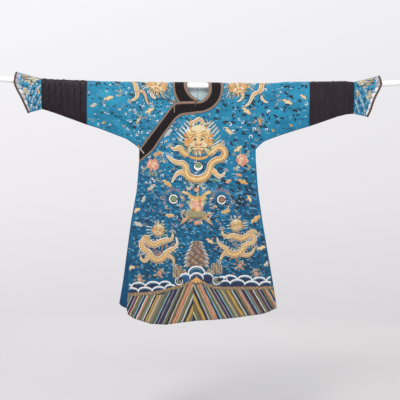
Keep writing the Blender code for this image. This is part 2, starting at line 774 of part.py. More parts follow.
def add_loop(name, x, height, far_x, far_height, ground):
    """A cord sewn flat in a long loop, with a round eye about the button's shank."""
    eye = Vector((x, height))
    tail = Vector((far_x, far_height))
    along = (tail - eye).normalized()
    aside = Vector((-along.y, along.x))
    eye_radius = SHANK_RADIUS + CORD_RADIUS + SEAM
    spread = CORD_RADIUS + SEAM / 2
    opening = math.asin(spread / eye_radius)
    throat = eye + along * (eye_radius * math.cos(opening) + 0.003)
    flat = []
    steps = 3
    for i in range(steps + 1):
        flat.append(tail.lerp(throat, i / steps) + aside * spread)
    arc = 8
    for i in range(1, arc):
        turn = opening + (2 * math.pi - 2 * opening) * i / arc
        flat.append(eye + (along * math.cos(turn) + aside * math.sin(turn)) * eye_radius)
    for i in range(steps, -1, -1):
        flat.append(tail.lerp(throat, i / steps) - aside * spread)
    flat.append(tail + along * CORD_RADIUS)
    add_cord(name + "_loop", flat, ground, True)


def build_fastenings():
    for name, x, height, far_x, far_height, ground in FASTENINGS:
        add_ball_button(name, x, height, ground)
        add_loop(name, x, height, far_x, far_height, ground)
    stay = [Vector((-0.1310, z)) for z in (-0.1180, -0.1310, -0.1440, -0.1570)]
    add_cord("collar_button_stay", stay, "band", False)


def build_rod():
    curve = bpy.data.curves.new("hanging_rod", 'CURVE')
    curve.dimensions = '3D'
    curve.bevel_depth = ROD_RADIUS
    curve.bevel_resolution = 4
    curve.use_fill_caps = True
    spline = curve.splines.new('POLY')
    steps = 18
    spline.points.add(steps)
    for i, point in enumerate(spline.points):
        x = ROD_HALF * (2.0 * i / steps - 1.0)
        point.co = (x, 0.0, rod_height(x), 1.0)
    add_object("hanging_rod", curve, "white_paint")


def main():
    for item in list(bpy.data.objects):
        bpy.data.objects.remove(item, do_unlink=True)
    collection = bpy.data.collections.new("dragon_robe")
    bpy.context.scene.collection.children.link(collection)
    build_body()
    build_overlap()
    build_bands()
    for name, side, start, end, pleat, mouth in SLEEVE_ENDS:
        build_sleeve_band(name, side, start, end, pleat)
        build_cuff(name, side, end, mouth)
    build_fastenings()
    build_rod()


main()
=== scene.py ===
import bpy
import math
import random
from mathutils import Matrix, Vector


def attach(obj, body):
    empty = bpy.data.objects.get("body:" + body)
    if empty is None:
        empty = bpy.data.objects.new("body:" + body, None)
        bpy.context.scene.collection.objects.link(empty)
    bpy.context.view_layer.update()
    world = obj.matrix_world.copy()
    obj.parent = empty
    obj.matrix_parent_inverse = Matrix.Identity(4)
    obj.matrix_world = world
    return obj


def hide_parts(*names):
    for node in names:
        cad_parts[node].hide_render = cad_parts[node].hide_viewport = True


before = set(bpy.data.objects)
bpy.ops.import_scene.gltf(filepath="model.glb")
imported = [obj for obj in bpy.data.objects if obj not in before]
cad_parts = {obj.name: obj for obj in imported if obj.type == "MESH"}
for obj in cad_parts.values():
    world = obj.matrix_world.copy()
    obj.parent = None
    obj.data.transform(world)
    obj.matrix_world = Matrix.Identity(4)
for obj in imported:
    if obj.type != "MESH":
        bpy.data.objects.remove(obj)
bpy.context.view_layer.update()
print("frame loaded")

front, back, left, right = -1, 1, 1, -1

# how the robe hangs; metres, the same frame as the solids
robe = {
    "wrapRadius": 0.0175,      # middle of the cloth round the rod
    "rodRise": 0.0285,
    "rodHalf": 1.160,
    "leftRise": 0.008,         # the left sleeve's fold stands off the rod
    "hangStart": 0.02764,      # way down the cloth where it starts to hang straight
    "seamHalf": 0.00070,
    "seamRoom": 0.150,
    "bodySwell": 0.011,
    "overlapLift": 0.0044,
    "wall": 0.0011,
    "underarm": -0.362,
    "cell": 0.0092,
    "seamGap": 0.00015,        # half the gap at the centre seam
    "partGap": 0.0002,         # between a sleeve, its band and its cuff
    "underlap": 0.030,         # how far the under front runs past the centre
    "bodyLength": 0.95,
    "foldsRunOut": -1.2,       # folds that end below this run out over the hem
    "seat": 0.0011,            # how far a sewn strip's underside lies off its cloth
}

# height, half width on the wearer's right, half width on the wearer's left
sideLine = (
    (-1.300, 0.436, 0.466), (-1.243, 0.434, 0.461), (-1.111, 0.413, 0.439), (-0.940, 0.392, 0.408),
    (-0.769, 0.371, 0.377), (-0.597, 0.341, 0.351), (-0.426, 0.329, 0.336), (-0.362, 0.330, 0.334),
    (0.050, 0.330, 0.334),
)
# distance from the centre, height of the sleeve's lower edge on the right, on the left
sleeveLine = (
    (0.330, -0.362, -0.362), (0.350, -0.343, -0.342), (0.376, -0.325, -0.317), (0.404, -0.307, -0.304),
    (0.490, -0.275, -0.272), (0.560, -0.249, -0.249), (0.634, -0.227, -0.226), (0.700, -0.203, -0.203),
    (0.750, -0.186, -0.185), (0.800, -0.168, -0.167), (0.850, -0.152, -0.154), (0.890, -0.141, -0.150),
)
# distance from the centre, hem of the left front, overlap, under front, left back, right back
hemLine = (
    (0.000, -1.335, -1.335, -1.308, -1.322, -1.322), (0.091, -1.329, -1.348, -1.308, -1.320, -1.320),
    (0.165, -1.323, -1.359, -1.306, -1.316, -1.316), (0.251, -1.313, -1.354, -1.300, -1.303, -1.308),
    (0.350, -1.298, -1.325, -1.284, -1.288, -1.290), (0.380, -1.292, -1.308, -1.273, -1.283, -1.276),
    (0.389, -1.290, -1.278, -1.271, -1.281, -1.273), (0.420, -1.281, -1.270, -1.260, -1.273, -1.260),
    (0.434, -1.274, -1.270, -1.246, -1.268, -1.246), (0.463, -1.262, -1.270, -1.240, -1.258, -1.240),
)
hemOf = {"leftFront": 1, "overlap": 2, "rightFront": 3, "leftBack": 4, "rightBack": 5}
# height, half width of the overlap at its free side edge
overlapSide = (
    (-1.300, 0.389), (-1.168, 0.388), (-1.025, 0.382), (-0.940, 0.389), (-0.769, 0.370),
    (-0.597, 0.340), (-0.426, 0.328), (-0.362, 0.328), (0.050, 0.328),
)
# distance from the centre, height of the overlap's upper edge
overlapTop = (
    (0.000, -0.0944), (0.060, -0.0960), (0.097, -0.0985), (0.119, -0.1020), (0.135, -0.1120),
    (0.152, -0.1310), (0.328, -0.3680),
)
# start, end, half width and ridge height; a trough is negative; a fold dies away at its end
# unless it reaches the hem
frontFolds = (
    (-0.215, -0.620, -0.262, -1.360, 0.050, 0.0060), (-0.090, -0.820, -0.105, -1.360, 0.046, -0.0042),
    (0.105, -0.720, 0.125, -1.360, 0.050, 0.0052), (0.235, -0.600, 0.300, -1.340, 0.052, -0.0062),
    (0.360, -0.900, 0.392, -1.320, 0.040, 0.0050), (-0.340, -0.860, -0.368, -1.320, 0.036, -0.0036),
    (0.300, -0.370, 0.205, -0.620, 0.046, 0.0042), (0.500, -0.045, 0.392, -0.262, 0.040, 0.0034),
    (-0.520, -0.040, -0.400, -0.262, 0.040, 0.0034), (-0.510, -0.150, -0.365, -0.280, 0.015, -0.0110),
    (-0.500, -0.118, -0.350, -0.252, 0.016, 0.0085), (-0.555, -0.178, -0.420, -0.262, 0.014, 0.0060),
    (-0.634, -0.184, -0.500, -0.236, 0.014, -0.0060), (-0.600, -0.030, -0.470, -0.110, 0.020, 0.0040),
    (-0.360, -0.250, -0.300, -0.318, 0.012, 0.0016), (0.440, -0.238, 0.628, -0.196, 0.014, -0.0070),
    (0.450, -0.205, 0.600, -0.165, 0.016, 0.0050), (0.585, -0.020, 0.592, -0.200, 0.012, -0.0022),
    (0.396, -0.160, 0.388, -0.286, 0.013, -0.0020), (0.345, -0.345, 0.296, -0.480, 0.016, -0.0020),
    (-0.318, -0.480, -0.250, -0.640, 0.015, 0.0018), (-0.087, -0.760, -0.092, -1.060, 0.012, -0.0016),
    (0.180, -0.500, 0.160, -0.820, 0.018, 0.0016), (0.330, -0.700, 0.352, -1.060, 0.014, -0.0017),
    (-0.300, -0.980, -0.335, -1.300, 0.014, 0.0018), (0.020, -0.980, 0.012, -1.330, 0.016, 0.0016),
    (0.215, -1.060, 0.236, -1.330, 0.014, 0.0019), (0.430, -1.100, 0.446, -1.270, 0.014, -0.0016),
    (-0.170, -1.120, -0.184, -1.350, 0.015, -0.0018),
)
backFolds = (
    (-0.300, -0.560, -0.345, -1.320, 0.050, -0.0052), (-0.170, -0.700, -0.196, -1.340, 0.052, 0.0064),
    (-0.030, -0.900, -0.030, -1.340, 0.048, -0.0044), (0.120, -0.640, 0.148, -1.340, 0.050, 0.0056),
    (0.270, -0.760, 0.322, -1.320, 0.050, -0.0060), (-0.290, -0.370, -0.190, -0.640, 0.046, 0.0040),
    (0.285, -0.370, 0.200, -0.600, 0.046, 0.0040), (0.480, -0.050, 0.396, -0.262, 0.040, 0.0032),
    (-0.470, -0.050, -0.392, -0.262, 0.040, 0.0032), (-0.600, -0.060, -0.420, -0.200, 0.014, -0.0018),
    (0.620, -0.070, 0.450, -0.190, 0.014, -0.0019), (-0.340, -0.350, -0.280, -0.500, 0.015, -0.0020),
    (0.340, -0.350, 0.290, -0.470, 0.015, -0.0019), (0.060, -0.420, 0.040, -0.800, 0.018, 0.0015),
    (-0.230, -0.800, -0.250, -1.300, 0.015, -0.0018), (0.210, -0.900, 0.226, -1.310, 0.014, 0.0018),
    (0.390, -0.960, 0.418, -1.260, 0.013, -0.0015), (-0.400, -1.020, -0.420, -1.250, 0.013, 0.0015),
    (0.010, -1.050, 0.020, -1.320, 0.015, -0.0016),
)


def between(table, key, column):
    if key <= table[0][0]:
        return table[0][column]
    for low, high in zip(table, table[1:]):
        if key <= high[0]:
            share = (key - low[0]) / (high[0] - low[0])
            return low[column] + share * (high[column] - low[column])
    return table[-1][column]


def smooth(share):
    share = min(max(share, 0.0), 1.0)
    return share * share * (3.0 - 2.0 * share)


def foldTop(x):
    stands = smooth((x - 0.40) / 0.12) * (1.0 - smooth((x - 0.83) / 0.06))
    return robe["rodRise"] * abs(x / robe["rodHalf"]) ** 3 + robe["leftRise"] * stands


def foldDepth(x, z, folds):
    total = 0.0
    for x0, z0, x1, z1, halfWidth, ridge in folds:
        dies = z1 > robe["foldsRunOut"]
        runX, runZ = x1 - x0, z1 - z0
        length = math.hypot(runX, runZ)
        aside = (runX * (z - z0) - runZ * (x - x0)) / length
        if abs(aside) > 2.6 * halfWidth:
            continue
        share = ((x - x0) * runX + (z - z0) * runZ) / (length * length)
        if share <= 0.0 or (share >= 1.0 and dies):
            continue
        along = math.sin(math.pi * share) if dies else smooth(share)
        total += ridge * along * math.exp(-(aside / halfWidth) ** 2)
    return total


def hollow(x, z, face):
    column = 1 if x < 0 else 2
    toSide = max(between(sideLine, z, column) - abs(x), 0.0)
    toEdge = max(z - between(sleeveLine, abs(x), column), 0.0)
    room = math.hypot(toSide, toEdge)
    depth = robe["wrapRadius"] + robe["bodySwell"] * smooth((-z - 0.30) / 0.60)
    rise = 1.0 - (1.0 - min(room / robe["seamRoom"], 1.0)) ** 2
    folds = foldDepth(x, z, frontFolds if face == front else backFolds)
    return robe["seamHalf"] + (depth - robe["seamHalf"]) * rise + folds * smooth(room / 0.1)


def hang(x, v, face, lift=0.0):
    # x and the way down the cloth from the shoulder fold give the place in the air
    top = foldTop(x)
    if v < robe["hangStart"]:
        turn = v / robe["hangStart"] * math.pi / 2
        radius = robe["wrapRadius"] + lift
        return Vector((x, face * radius * math.sin(turn), top + radius * math.cos(turn)))
    z = top + robe["hangStart"] - v
    return Vector((x, face * (hollow(x, z, face) + lift), z))


def wayDown(x, z):
    return robe["hangStart"] + foldTop(x) - z


def outerLift(x, v):
    across = 1.0 - smooth((x - 0.036) / 0.110)
    return robe["overlapLift"] * across * smooth((v - 0.025) / 0.075)


def hangOuter(x, v, lift=0.0):
    return hang(x, v, front, lift + outerLift(x, v))


def hangUnder(x, v, lift=0.0):
    return hang(x, v, front, lift)


def hangBack(x, v, lift=0.0):
    return hang(x, v, back, lift)


# finishes

def rgb(r, g, b):
    values = []
    for c in (r / 255, g / 255, b / 255):
        values.append(c / 12.92 if c <= 0.04045 else ((c + 0.055) / 1.055) ** 2.4)
    return (*values, 1.0)


def newFinish(name, roughness, metallic=0.0, sheen=0.0, specular=0.5):
    finish = bpy.data.materials.new(name)
    finish.use_nodes = True
    shader = finish.node_tree.nodes["Principled BSDF"]
    shader.inputs["Roughness"].default_value = roughness
    shader.inputs["Metallic"].default_value = metallic
    shader.inputs["Sheen Weight"].default_value = sheen
    shader.inputs["Specular IOR Level"].default_value = specular
    coords = addNode(finish.node_tree, "ShaderNodeTexCoord").outputs
    return finish, finish.node_tree, shader, coords


def addNode(tree, kind, values=(), **settings):
    node = tree.nodes.new(kind)
    for key, value in settings.items():
        setattr(node, key, value)
    for key, value in dict(values).items():
        node.inputs[key].default_value = value
    return node


def linked(tree, kind, socket, source, values=(), **settings):
    # a new node that is fed by a socket
    node = addNode(tree, kind, values, **settings)
    tree.links.new(source, node.inputs[socket])
    return node


def ramped(tree, source, stops):
    ramp = linked(tree, "ShaderNodeValToRGB", "Fac", source)
    elements = ramp.color_ramp.elements
    while len(elements) < len(stops):
        elements.new(0.5)
    for element, (place, colour) in zip(elements, stops):
        element.position = place
        element.color = colour
    return ramp.outputs["Color"]


def blended(tree, first, second, factor=1.0, kind="MULTIPLY"):
    mix = addNode(tree, "ShaderNodeMix", data_type="RGBA", blend_type=kind)
    for socket, source in ((0, factor), (6, first), (7, second)):
        if isinstance(source, bpy.types.NodeSocket):
            tree.links.new(source, mix.inputs[socket])
        else:
            mix.inputs[socket].default_value = source
    return mix.outputs[2]


def grey(value):
    return (value, value, value, 1.0)


def noiseOf(tree, coords, scale, detail, roughness=0.5, output="Fac"):
    values = {"Scale": scale, "Detail": detail, "Roughness": roughness}
    return linked(tree, "ShaderNodeTexNoise", "Vector", coords["Object"], values).outputs[output]


def alongAxis(tree, coords, axis, low, high):
    split = linked(tree, "ShaderNodeSeparateXYZ", "Vector", coords)
    place = linked(tree, "ShaderNodeMapRange", "Value", split.outputs[axis],
                   {"From Min": low, "From Max": high})
    return place.outputs["Result"]


def addBump(tree, shader, height, strength, distance):
    bump = linked(tree, "ShaderNodeBump", "Height", height,
                  {"Strength": strength, "Distance": distance})
    tree.links.new(bump.outputs["Normal"], shader.inputs["Normal"])


def weaveHeight(tree, coords, scale):
    # fine twill ribs
    return linked(tree, "ShaderNodeTexWave", "Vector", coords["UV"],
                  {"Scale": scale, "Distortion": 0.6, "Detail": 1.0},
                  bands_direction="DIAGONAL").outputs["Fac"]


def groundFinish(name, stops):
    # blue satin, deeper and greener towards the hem, with faint uneven fading
    finish, tree, shader, coords = newFinish(name, 0.62, sheen=0.04, specular=0.22)
    blue = ramped(tree, alongAxis(tree, coords["Object"], "Z", -1.36, 0.04), stops)
    fade = noiseOf(tree, coords, 9.0, 6.0, 0.72)
    shade = ramped(tree, fade, ((0.34, (0.66, 0.70, 0.76, 1.0)), (0.66, (1.30, 1.24, 1.20, 1.0))))
    tree.links.new(blended(tree, blue, shade), shader.inputs["Base Color"])
    addBump(tree, shader, weaveHeight(tree, coords, 420.0), 0.22, 0.0004)
    return finish


def plainFinish(name, light, dark, roughness, ribs, relief, mottle=18.0, sheen=0.1, specular=0.3):
    finish, tree, shader, coords = newFinish(name, roughness, sheen=sheen, specular=specular)
    spots = noiseOf(tree, coords, mottle, 6.0, 0.6)
    tree.links.new(ramped(tree, spots, ((0.32, dark), (0.68, light))), shader.inputs["Base Color"])
    addBump(tree, shader, weaveHeight(tree, coords, ribs), relief, 0.0005)
    return finish


def paintFinish(name, roughness, scale, detail, stops, relief=0.0, **settings):
    # smooth paint or metal with faint spots; relief also raises them
    finish, tree, shader, coords = newFinish(name, roughness, **settings)
    spots = noiseOf(tree, coords, scale, detail)
    tree.links.new(ramped(tree, spots, stops), shader.inputs["Base Color"])
    if relief:
        addBump(tree, shader, spots, relief, 0.0004)
    return finish


def brocadeFinish(name, ground, figure, braid=None):
    # a small diaper figure woven in a lighter thread; a braid covers the first tenth of the width
    finish, tree, shader, coords = newFinish(name, 0.6, sheen=0.1, specular=0.35)
    turned = linked(tree, "ShaderNodeMapping", "Vector", coords["UV"],
                    {"Rotation": (0.0, 0.0, math.radians(45))})
    cells = linked(tree, "ShaderNodeTexVoronoi", "Vector", turned.outputs["Vector"],
                   {"Scale": 150.0, "Randomness": 0.0}, distance="CHEBYCHEV").outputs["Distance"]
    woven = ramped(tree, cells, ((0.22, figure), (0.34, ground), (0.46, figure), (0.52, ground)))
    colour = blended(tree, woven, noiseOf(tree, coords, 30.0, 4.0, output="Color"), 0.35)
    if braid:
        across = alongAxis(tree, coords["UV"], "Y", 0.0, cuffShape["edging"])
        place = ramped(tree, across, ((0.08, grey(1.0)), (0.12, grey(0.0))))
        colour = blended(tree, colour, braid, place, "MIX")
    tree.links.new(colour, shader.inputs["Base Color"])
    addBump(tree, shader, cells, 0.25, 0.0006)
    return finish


def threadFinish(name, roughness, metallic):
    # the colour of each stitched stroke is on the mesh; fine ridges run across it, and the colour is darkened
    # in the grooves between them as painted shade
    finish, tree, shader, coords = newFinish(name, roughness, metallic, sheen=0.08, specular=0.45)
    colour = addNode(tree, "ShaderNodeAttribute", attribute_name="thread").outputs["Color"]
    ridges = linked(tree, "ShaderNodeTexWave", "Vector", coords["UV"],
                    {"Scale": 260.0, "Distortion": 2.0, "Detail": 2.0}).outputs["Fac"]
    # painted shade: the thread colour is darkened where the ridges dip, as if the grooves lay in shadow
    shade = ramped(tree, ridges, ((0.0, grey(0.54)), (0.8, grey(0.82))))
    tree.links.new(blended(tree, colour, shade), shader.inputs["Base Color"])
    addBump(tree, shader, ridges, 0.35, 0.0004)
    return finish


cuffShape = {
    # how wide the edging is, and the mean girth, mouth and length of a cuff laid flat
    "edging": 0.0135, "girth": 0.40, "mouth": 0.52, "length": 0.125,
    # how far the embroidered picture reaches out and up, in millimetres
    "reach": 122.0, "height": 190.0,
}
blueStops = (
    (0.00, rgb(4, 74, 104)), (0.12, rgb(6, 80, 112)), (0.35, rgb(10, 92, 128)),
    (0.60, rgb(16, 106, 142)), (0.85, rgb(28, 122, 156)), (1.00, rgb(38, 130, 162)),
)
finishes = {
    "blueSilk": groundFinish("blueSilk", blueStops),
    "underSilk": groundFinish("underSilk", (
        (0.00, rgb(4, 64, 98)), (0.40, rgb(8, 76, 114)), (0.62, rgb(20, 110, 146)),
        (0.85, rgb(30, 126, 158)), (1.00, rgb(40, 132, 164)))),
    "lining": plainFinish("liningSilk", rgb(186, 205, 208), rgb(166, 187, 192), 0.6, 300.0, 0.15),
    "darkSilk": plainFinish("darkCordedSilk", rgb(36, 20, 33), rgb(17, 9, 17), 0.44, 260.0, 0.30,
                            mottle=16.0, sheen=0.01, specular=0.26),
    "blackSatin": plainFinish("blackSatin", rgb(26, 17, 21), rgb(15, 10, 12), 0.5, 500.0, 0.15,
                              sheen=0.01, specular=0.16),
    "brocade": brocadeFinish("edgeBrocade", rgb(116, 92, 80), rgb(152, 126, 108)),
    "cuffBraid": brocadeFinish("cuffBraid", rgb(48, 34, 30), rgb(92, 70, 60), rgb(222, 212, 210)),
    "silkThread": threadFinish("silkThread", 0.55, 0.0),
    "goldThread": threadFinish("goldThread", 0.46, 0.35),
    "cord": plainFinish("silkCord", rgb(206, 186, 168), rgb(168, 146, 128), 0.6, 900.0, 0.3, mottle=200.0),
    "darkCord": plainFinish("darkSilkCord", rgb(112, 86, 72), rgb(80, 60, 52), 0.6, 900.0, 0.3, mottle=200.0),
    "rodPaint": paintFinish("rodPaint", 0.35, 24.0, 5.0,
                            ((0.3, rgb(236, 236, 236)), (0.7, rgb(246, 246, 246)))),
    "gilt": paintFinish("giltMetal", 0.28, 260.0, 3.0,
                        ((0.35, rgb(176, 132, 66)), (0.65, rgb(232, 198, 128))), relief=0.3, metallic=0.9),
}


def finishPiece(piece, nodes):
    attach(piece, "root")
    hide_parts(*nodes)


def deselectAll():
    for item in bpy.context.selected_objects:
        item.select_set(False)


def thicken(piece, thickness, lined):
    deselectAll()
    piece.select_set(True)
    bpy.context.view_layer.objects.active = piece
    wall = piece.modifiers.new("wall", "SOLIDIFY")
    wall.thickness = thickness
    wall.offset = 0.0
    wall.use_rim = True
    wall.material_offset = 1 if lined else 0
    bpy.ops.object.modifier_apply(modifier=wall.name)
    piece.data.shade_smooth()


def makeSheet(name, rows, flatRows, finish, thickness, flip, lining=None, closed=False):
    # rows of points, which may differ in length, made a cloth wall with its cut laid out in UV
    starts, points, flats = [], [], []
    for row, flatRow in zip(rows, flatRows):
        starts.append(len(points))
        points.extend(row)
        flats.extend(flatRow)
    faces, area = [], 0.0
    for r in range(len(rows) - 1):
        count = min(len(rows[r]), len(rows[r + 1]))
        for i in range(count - 1):
            a, b = starts[r] + i, starts[r + 1] + i
            face = (a, a + 1, b + 1, b)
            faces.append(face[::-1] if flip else face)
            across = [flats[k] for k in face]
            area += 0.5 * abs(sum(p[0] * q[1] - q[0] * p[1] for p, q in zip(across, across[1:] + across[:1])))
    mesh = bpy.data.meshes.new(name)
    mesh.from_pydata([tuple(p) for p in points], [], faces)
    layer = mesh.uv_layers.new(name="UVMap")
    for loop in mesh.loops:
        layer.data[loop.index].uv = flats[loop.vertex_index]
    mesh.materials.append(finish)
    if lining:
        mesh.materials.append(lining)
    piece = bpy.data.objects.new(name, mesh)
    bpy.context.scene.collection.objects.link(piece)
    if closed:
        mergeSeam(piece)
    thicken(piece, thickness, lining is not None)
    us, vs = [f[0] for f in flats], [f[1] for f in flats]
    flat = (max(us) - min(us), max(vs) - min(vs))
    return piece, flat, min(area, flat[0] * flat[1])


def mergeSeam(piece):
    # the last column of a tube lies on its first
    deselectAll()
    piece.select_set(True)
    bpy.context.view_layer.objects.active = piece
    bpy.ops.object.mode_set(mode="EDIT")
    bpy.ops.mesh.select_all(action="SELECT")
    bpy.ops.mesh.remove_doubles(threshold=0.00002)
    bpy.ops.object.mode_set(mode="OBJECT")


# body and upper sleeves

neck = {"middle": 0.045, "top": 0.160, "panelA": 0.065, "panelB": 0.077, "back": 0.018}
rightNeckEdge = (
    (0.0000, 0.0625), (0.0230, 0.0650), (0.0450, 0.0645), (0.0713, 0.0530), (0.0945, 0.0300),
    (0.1103, -0.0120), (0.1190, -0.0300),
)


def leftNeckEdge(v):
    if v < neck["middle"]:
        return neck["panelA"] * math.sqrt(1.0 - ((neck["middle"] - v) / neck["top"]) ** 2)
    return neck["panelA"] * math.sqrt(max(1.0 - ((v - neck["middle"]) / neck["panelB"]) ** 2, 0.0))


def rightEdge(v):
    return between(rightNeckEdge, v, 1)


def backNeckEdge(v):
    return 0.0624 * math.sqrt(max(1.0 - (v / neck["back"]) ** 2, 0.0))


def halfRows(side, face, hemColumn, neckEdge, centre, placer, sleeveEnd):
    column = 1 if side == right else 2
    cell = robe["cell"]
    underarmX = between(sideLine, robe["underarm"], column)
    bodyColumns = round(underarmX / cell)
    sleeveColumns = round((sleeveEnd - underarmX) / cell)
    if face == front:
        levels = [robe["hangStart"] * i / 6 for i in range(7)] + [0.033, 0.039]
        levels += [neck["middle"] + neck["panelB"] * math.sin(math.radians(a)) for a in range(0, 91, 6)]
    else:
        levels = [0.0, 0.003, 0.006, 0.009, 0.012, 0.014, 0.0155, 0.017, 0.018, 0.021, 0.0243,
                  robe["hangStart"]]
        levels += [robe["hangStart"] + 0.0094 * i for i in range(1, 11)]
    last = robe["hangStart"] - robe["underarm"]
    count = round((last - levels[-1]) / cell)
    levels += [levels[-1] + (last - levels[-1]) * i / count for i in range(1, count + 1)]
    rows, flats = [], []
    for v in levels:
        inner = max(neckEdge(v), centre)
        row, flat = [], []
        for i in range(bodyColumns + 1):
            x = inner + (underarmX - inner) * i / bodyColumns
            down = v if v <= robe["hangStart"] else v + foldTop(side * x)
            row.append(placer(side * x, down))
            flat.append((side * x, face * v))
        share = max((v - robe["hangStart"]) / (last - robe["hangStart"]), 0.0)
        for k in range(1, sleeveColumns + 1):
            x = underarmX + (sleeveEnd - underarmX) * k / sleeveColumns
            down = v
            if v > robe["hangStart"]:
                z = foldTop(side * x) * (1.0 - share) + between(sleeveLine, x, column) * share
                down = wayDown(side * x, z)
            row.append(placer(side * x, down))
            flat.append((side * x, face * down))
        rows.append(row)
        flats.append(flat)
    corner = -1.262 if side == left else -1.243
    cornerX = between(sideLine, corner, column)
    bodyRows = round(robe["bodyLength"] / cell)
    for r in range(1, bodyRows + 1):
        share = r / bodyRows
        sideX = between(sideLine, robe["underarm"] + (corner - robe["underarm"]) * share, column)
        row, flat = [], []
        for i in range(bodyColumns + 1):
            part = i / bodyColumns
            x = centre + (sideX - centre) * part
            hem = between(hemLine, centre + (cornerX - centre) * part, hemColumn)
            z = robe["underarm"] + (hem - robe["underarm"]) * share
            row.append(placer(side * x, wayDown(side * x, z)))
            flat.append((side * x, face * wayDown(side * x, z)))
        rows.append(row)
        flats.append(flat)
    return rows, flats


def makeHalf(name, data):
    side, sleeveEnd = data["side"], data["sleeveEnd"]
    frontRows, frontFlats = halfRows(side, front, hemOf[data["hems"][0]], data["neckEdge"], data["centre"],
                                     data["placer"], sleeveEnd)
    backRows, backFlats = halfRows(side, back, hemOf[data["hems"][1]], backNeckEdge, robe["seamGap"],
                                   hangBack, sleeveEnd)
    # the underlap makes the front wider, but both have the same columns at the shoulder
    piece, flat, area = makeSheet(
        name, frontRows[::-1] + backRows[1:], frontFlats[::-1] + backFlats[1:], finishes[data["finish"]],
        robe["wall"], side == right, lining=finishes["lining"])
    finishPiece(piece, data["nodes"])


def makeOverlap():
    rows, flats = [], []
    # across the cloth and down it; the widths at the underarm and at the hem
    columns, rowCount, upper, lower = 42, 132, 0.328, 0.389
    for r in range(rowCount + 1):
        row, flat = [], []
        for i in range(columns + 1):
            part = i / columns
            top = between(overlapTop, upper * part, 1)
            hem = between(hemLine, lower * part, hemOf["overlap"])
            z = top + (hem - top) * r / rowCount
            x = robe["seamGap"] + (between(overlapSide, z, 1) - robe["seamGap"]) * part
            row.append(hangOuter(-x, wayDown(-x, z)))
            flat.append((-x, -z))
        rows.append(row)
        flats.append(flat)
    piece, flat, area = makeSheet(
        "overlapPanel", rows, flats, finishes["blueSilk"], robe["wall"], False, lining=finishes["lining"])
    finishPiece(piece, ["overlap_front"])


halves = {
    "leftHalf": {"side": left, "nodes": ["left_front", "left_back"], "hems": ("leftFront", "leftBack"),
                 "neckEdge": leftNeckEdge, "centre": robe["seamGap"], "placer": hangOuter,
                 "sleeveEnd": 0.6368, "finish": "blueSilk"},
    "rightHalf": {"side": right, "nodes": ["right_front", "right_back"], "hems": ("rightFront", "rightBack"),
                  "neckEdge": rightEdge, "centre": -robe["underlap"], "placer": hangUnder,
                  "sleeveEnd": 0.6288, "finish": "underSilk"},
}
for name, data in halves.items():
    makeHalf(name, data)
makeOverlap()
print("body panels made")

# bands and trims

neckCurves = ((0.0620, 0.0740, 0.014), (0.0810, 0.0876, 0.032), (0.1320, 0.1306, 0.082),
              (0.1450, 0.1426, 0.095))
rightNeckCurves = ((0.0600, 0.0720, 1.6), (0.0790, 0.0900, 1.6), (0.1290, 0.1420, 2.0), (0.1420, 0.1550, 2.0))
# x and height of the free edge, x and height of the other edge, width of each trim
bandStations = (
    (-0.0200, -0.0912, -0.0220, -0.1645, 0.0140, 0.0130),
    (-0.0600, -0.0930, -0.0520, -0.1685, 0.0140, 0.0130),
    (-0.0970, -0.0950, -0.0820, -0.1725, 0.0135, 0.0130),
    (-0.1190, -0.0985, -0.1010, -0.1800, 0.0130, 0.0125),
    (-0.1350, -0.1080, -0.1130, -0.1880, 0.0120, 0.0120),
    (-0.1540, -0.1300, -0.1200, -0.1940, 0.0100, 0.0110),
    (-0.1780, -0.1620, -0.1290, -0.2040, 0.0092, 0.0100),
    (-0.2040, -0.1970, -0.1550, -0.2400, 0.0090, 0.0100),
    (-0.2300, -0.2330, -0.1800, -0.2730, 0.0090, 0.0100),
    (-0.2560, -0.2680, -0.2040, -0.3080, 0.0090, 0.0100),
    (-0.2810, -0.3020, -0.2250, -0.3400, 0.0090, 0.0100),
    (-0.3050, -0.3340, -0.2450, -0.3690, 0.0090, 0.0100),
    (-0.3250, -0.3600, -0.2680, -0.3910, 0.0090, 0.0100),
)
bandEnd = ((-0.3280, -0.3900, -0.2960, -0.4150, 0.0, 0.0100),
           (-0.3280, -0.4200, -0.3270, -0.4390, 0.0, 0.0100))


def leftStations():
    stations = []
    for i in range(9):
        v = robe["hangStart"] * i / 8
        narrowing = math.sqrt(1.0 - ((neck["middle"] - v) / neck["top"]) ** 2)
        stations.append([(a * narrowing, v) for a, b, deep in neckCurves])
    for degrees in range(0, 91, 4):
        turn = math.radians(degrees)
        stations.append([(a * math.cos(turn), neck["middle"] + b * math.sin(turn)) for a, b,
                         deep in neckCurves])
    stations.append([(0.0, neck["middle"] + b) for a, b, deep in neckCurves])
    return stations


def rightStations():
    middle, stations = 0.030, []
    for i in range(9):
        v = robe["hangStart"] * i / 8
        narrowing = math.sqrt(1.0 - ((middle - v) / neck["top"]) ** 2)
        stations.append([(-a * narrowing, v) for a, b, power in rightNeckCurves])
    for degrees in range(0, 87, 4):
        turn = math.radians(degrees)
        stations.append([(-a * math.cos(turn) ** (2 / power), middle + b * math.sin(turn) ** (2 / power))
                         for a, b, power in rightNeckCurves])
    return stations


def backStations():
    shoulder = math.sqrt(1.0 - (neck["middle"] / neck["top"]) ** 2)
    stations = []
    for i in range(49):
        turn = math.pi * i / 48
        stations.append([(-a * shoulder * math.cos(turn), deep * math.sin(turn)) for a, b,
                         deep in neckCurves])
    return stations


def diagonalStations(table):
    corners = []
    for x0, z0, x1, z1, trim0, trim1 in table:
        free, other = Vector((x0, z0)), Vector((x1, z1))
        step = (other - free).normalized()
        corners.append([free, free + step * trim0, other - step * trim1, other])
    return [[(c.x, wayDown(c.x, c.y)) for c in row] for row in corners]


def curvePoint(a, b, c, d, t):
    # a smooth curve through b and c
    return 0.5 * ((2 * b) + (c - a) * t + (2 * a - 5 * b + 4 * c - d) * t * t
                  + (3 * b - a - 3 * c + d) * t ** 3)


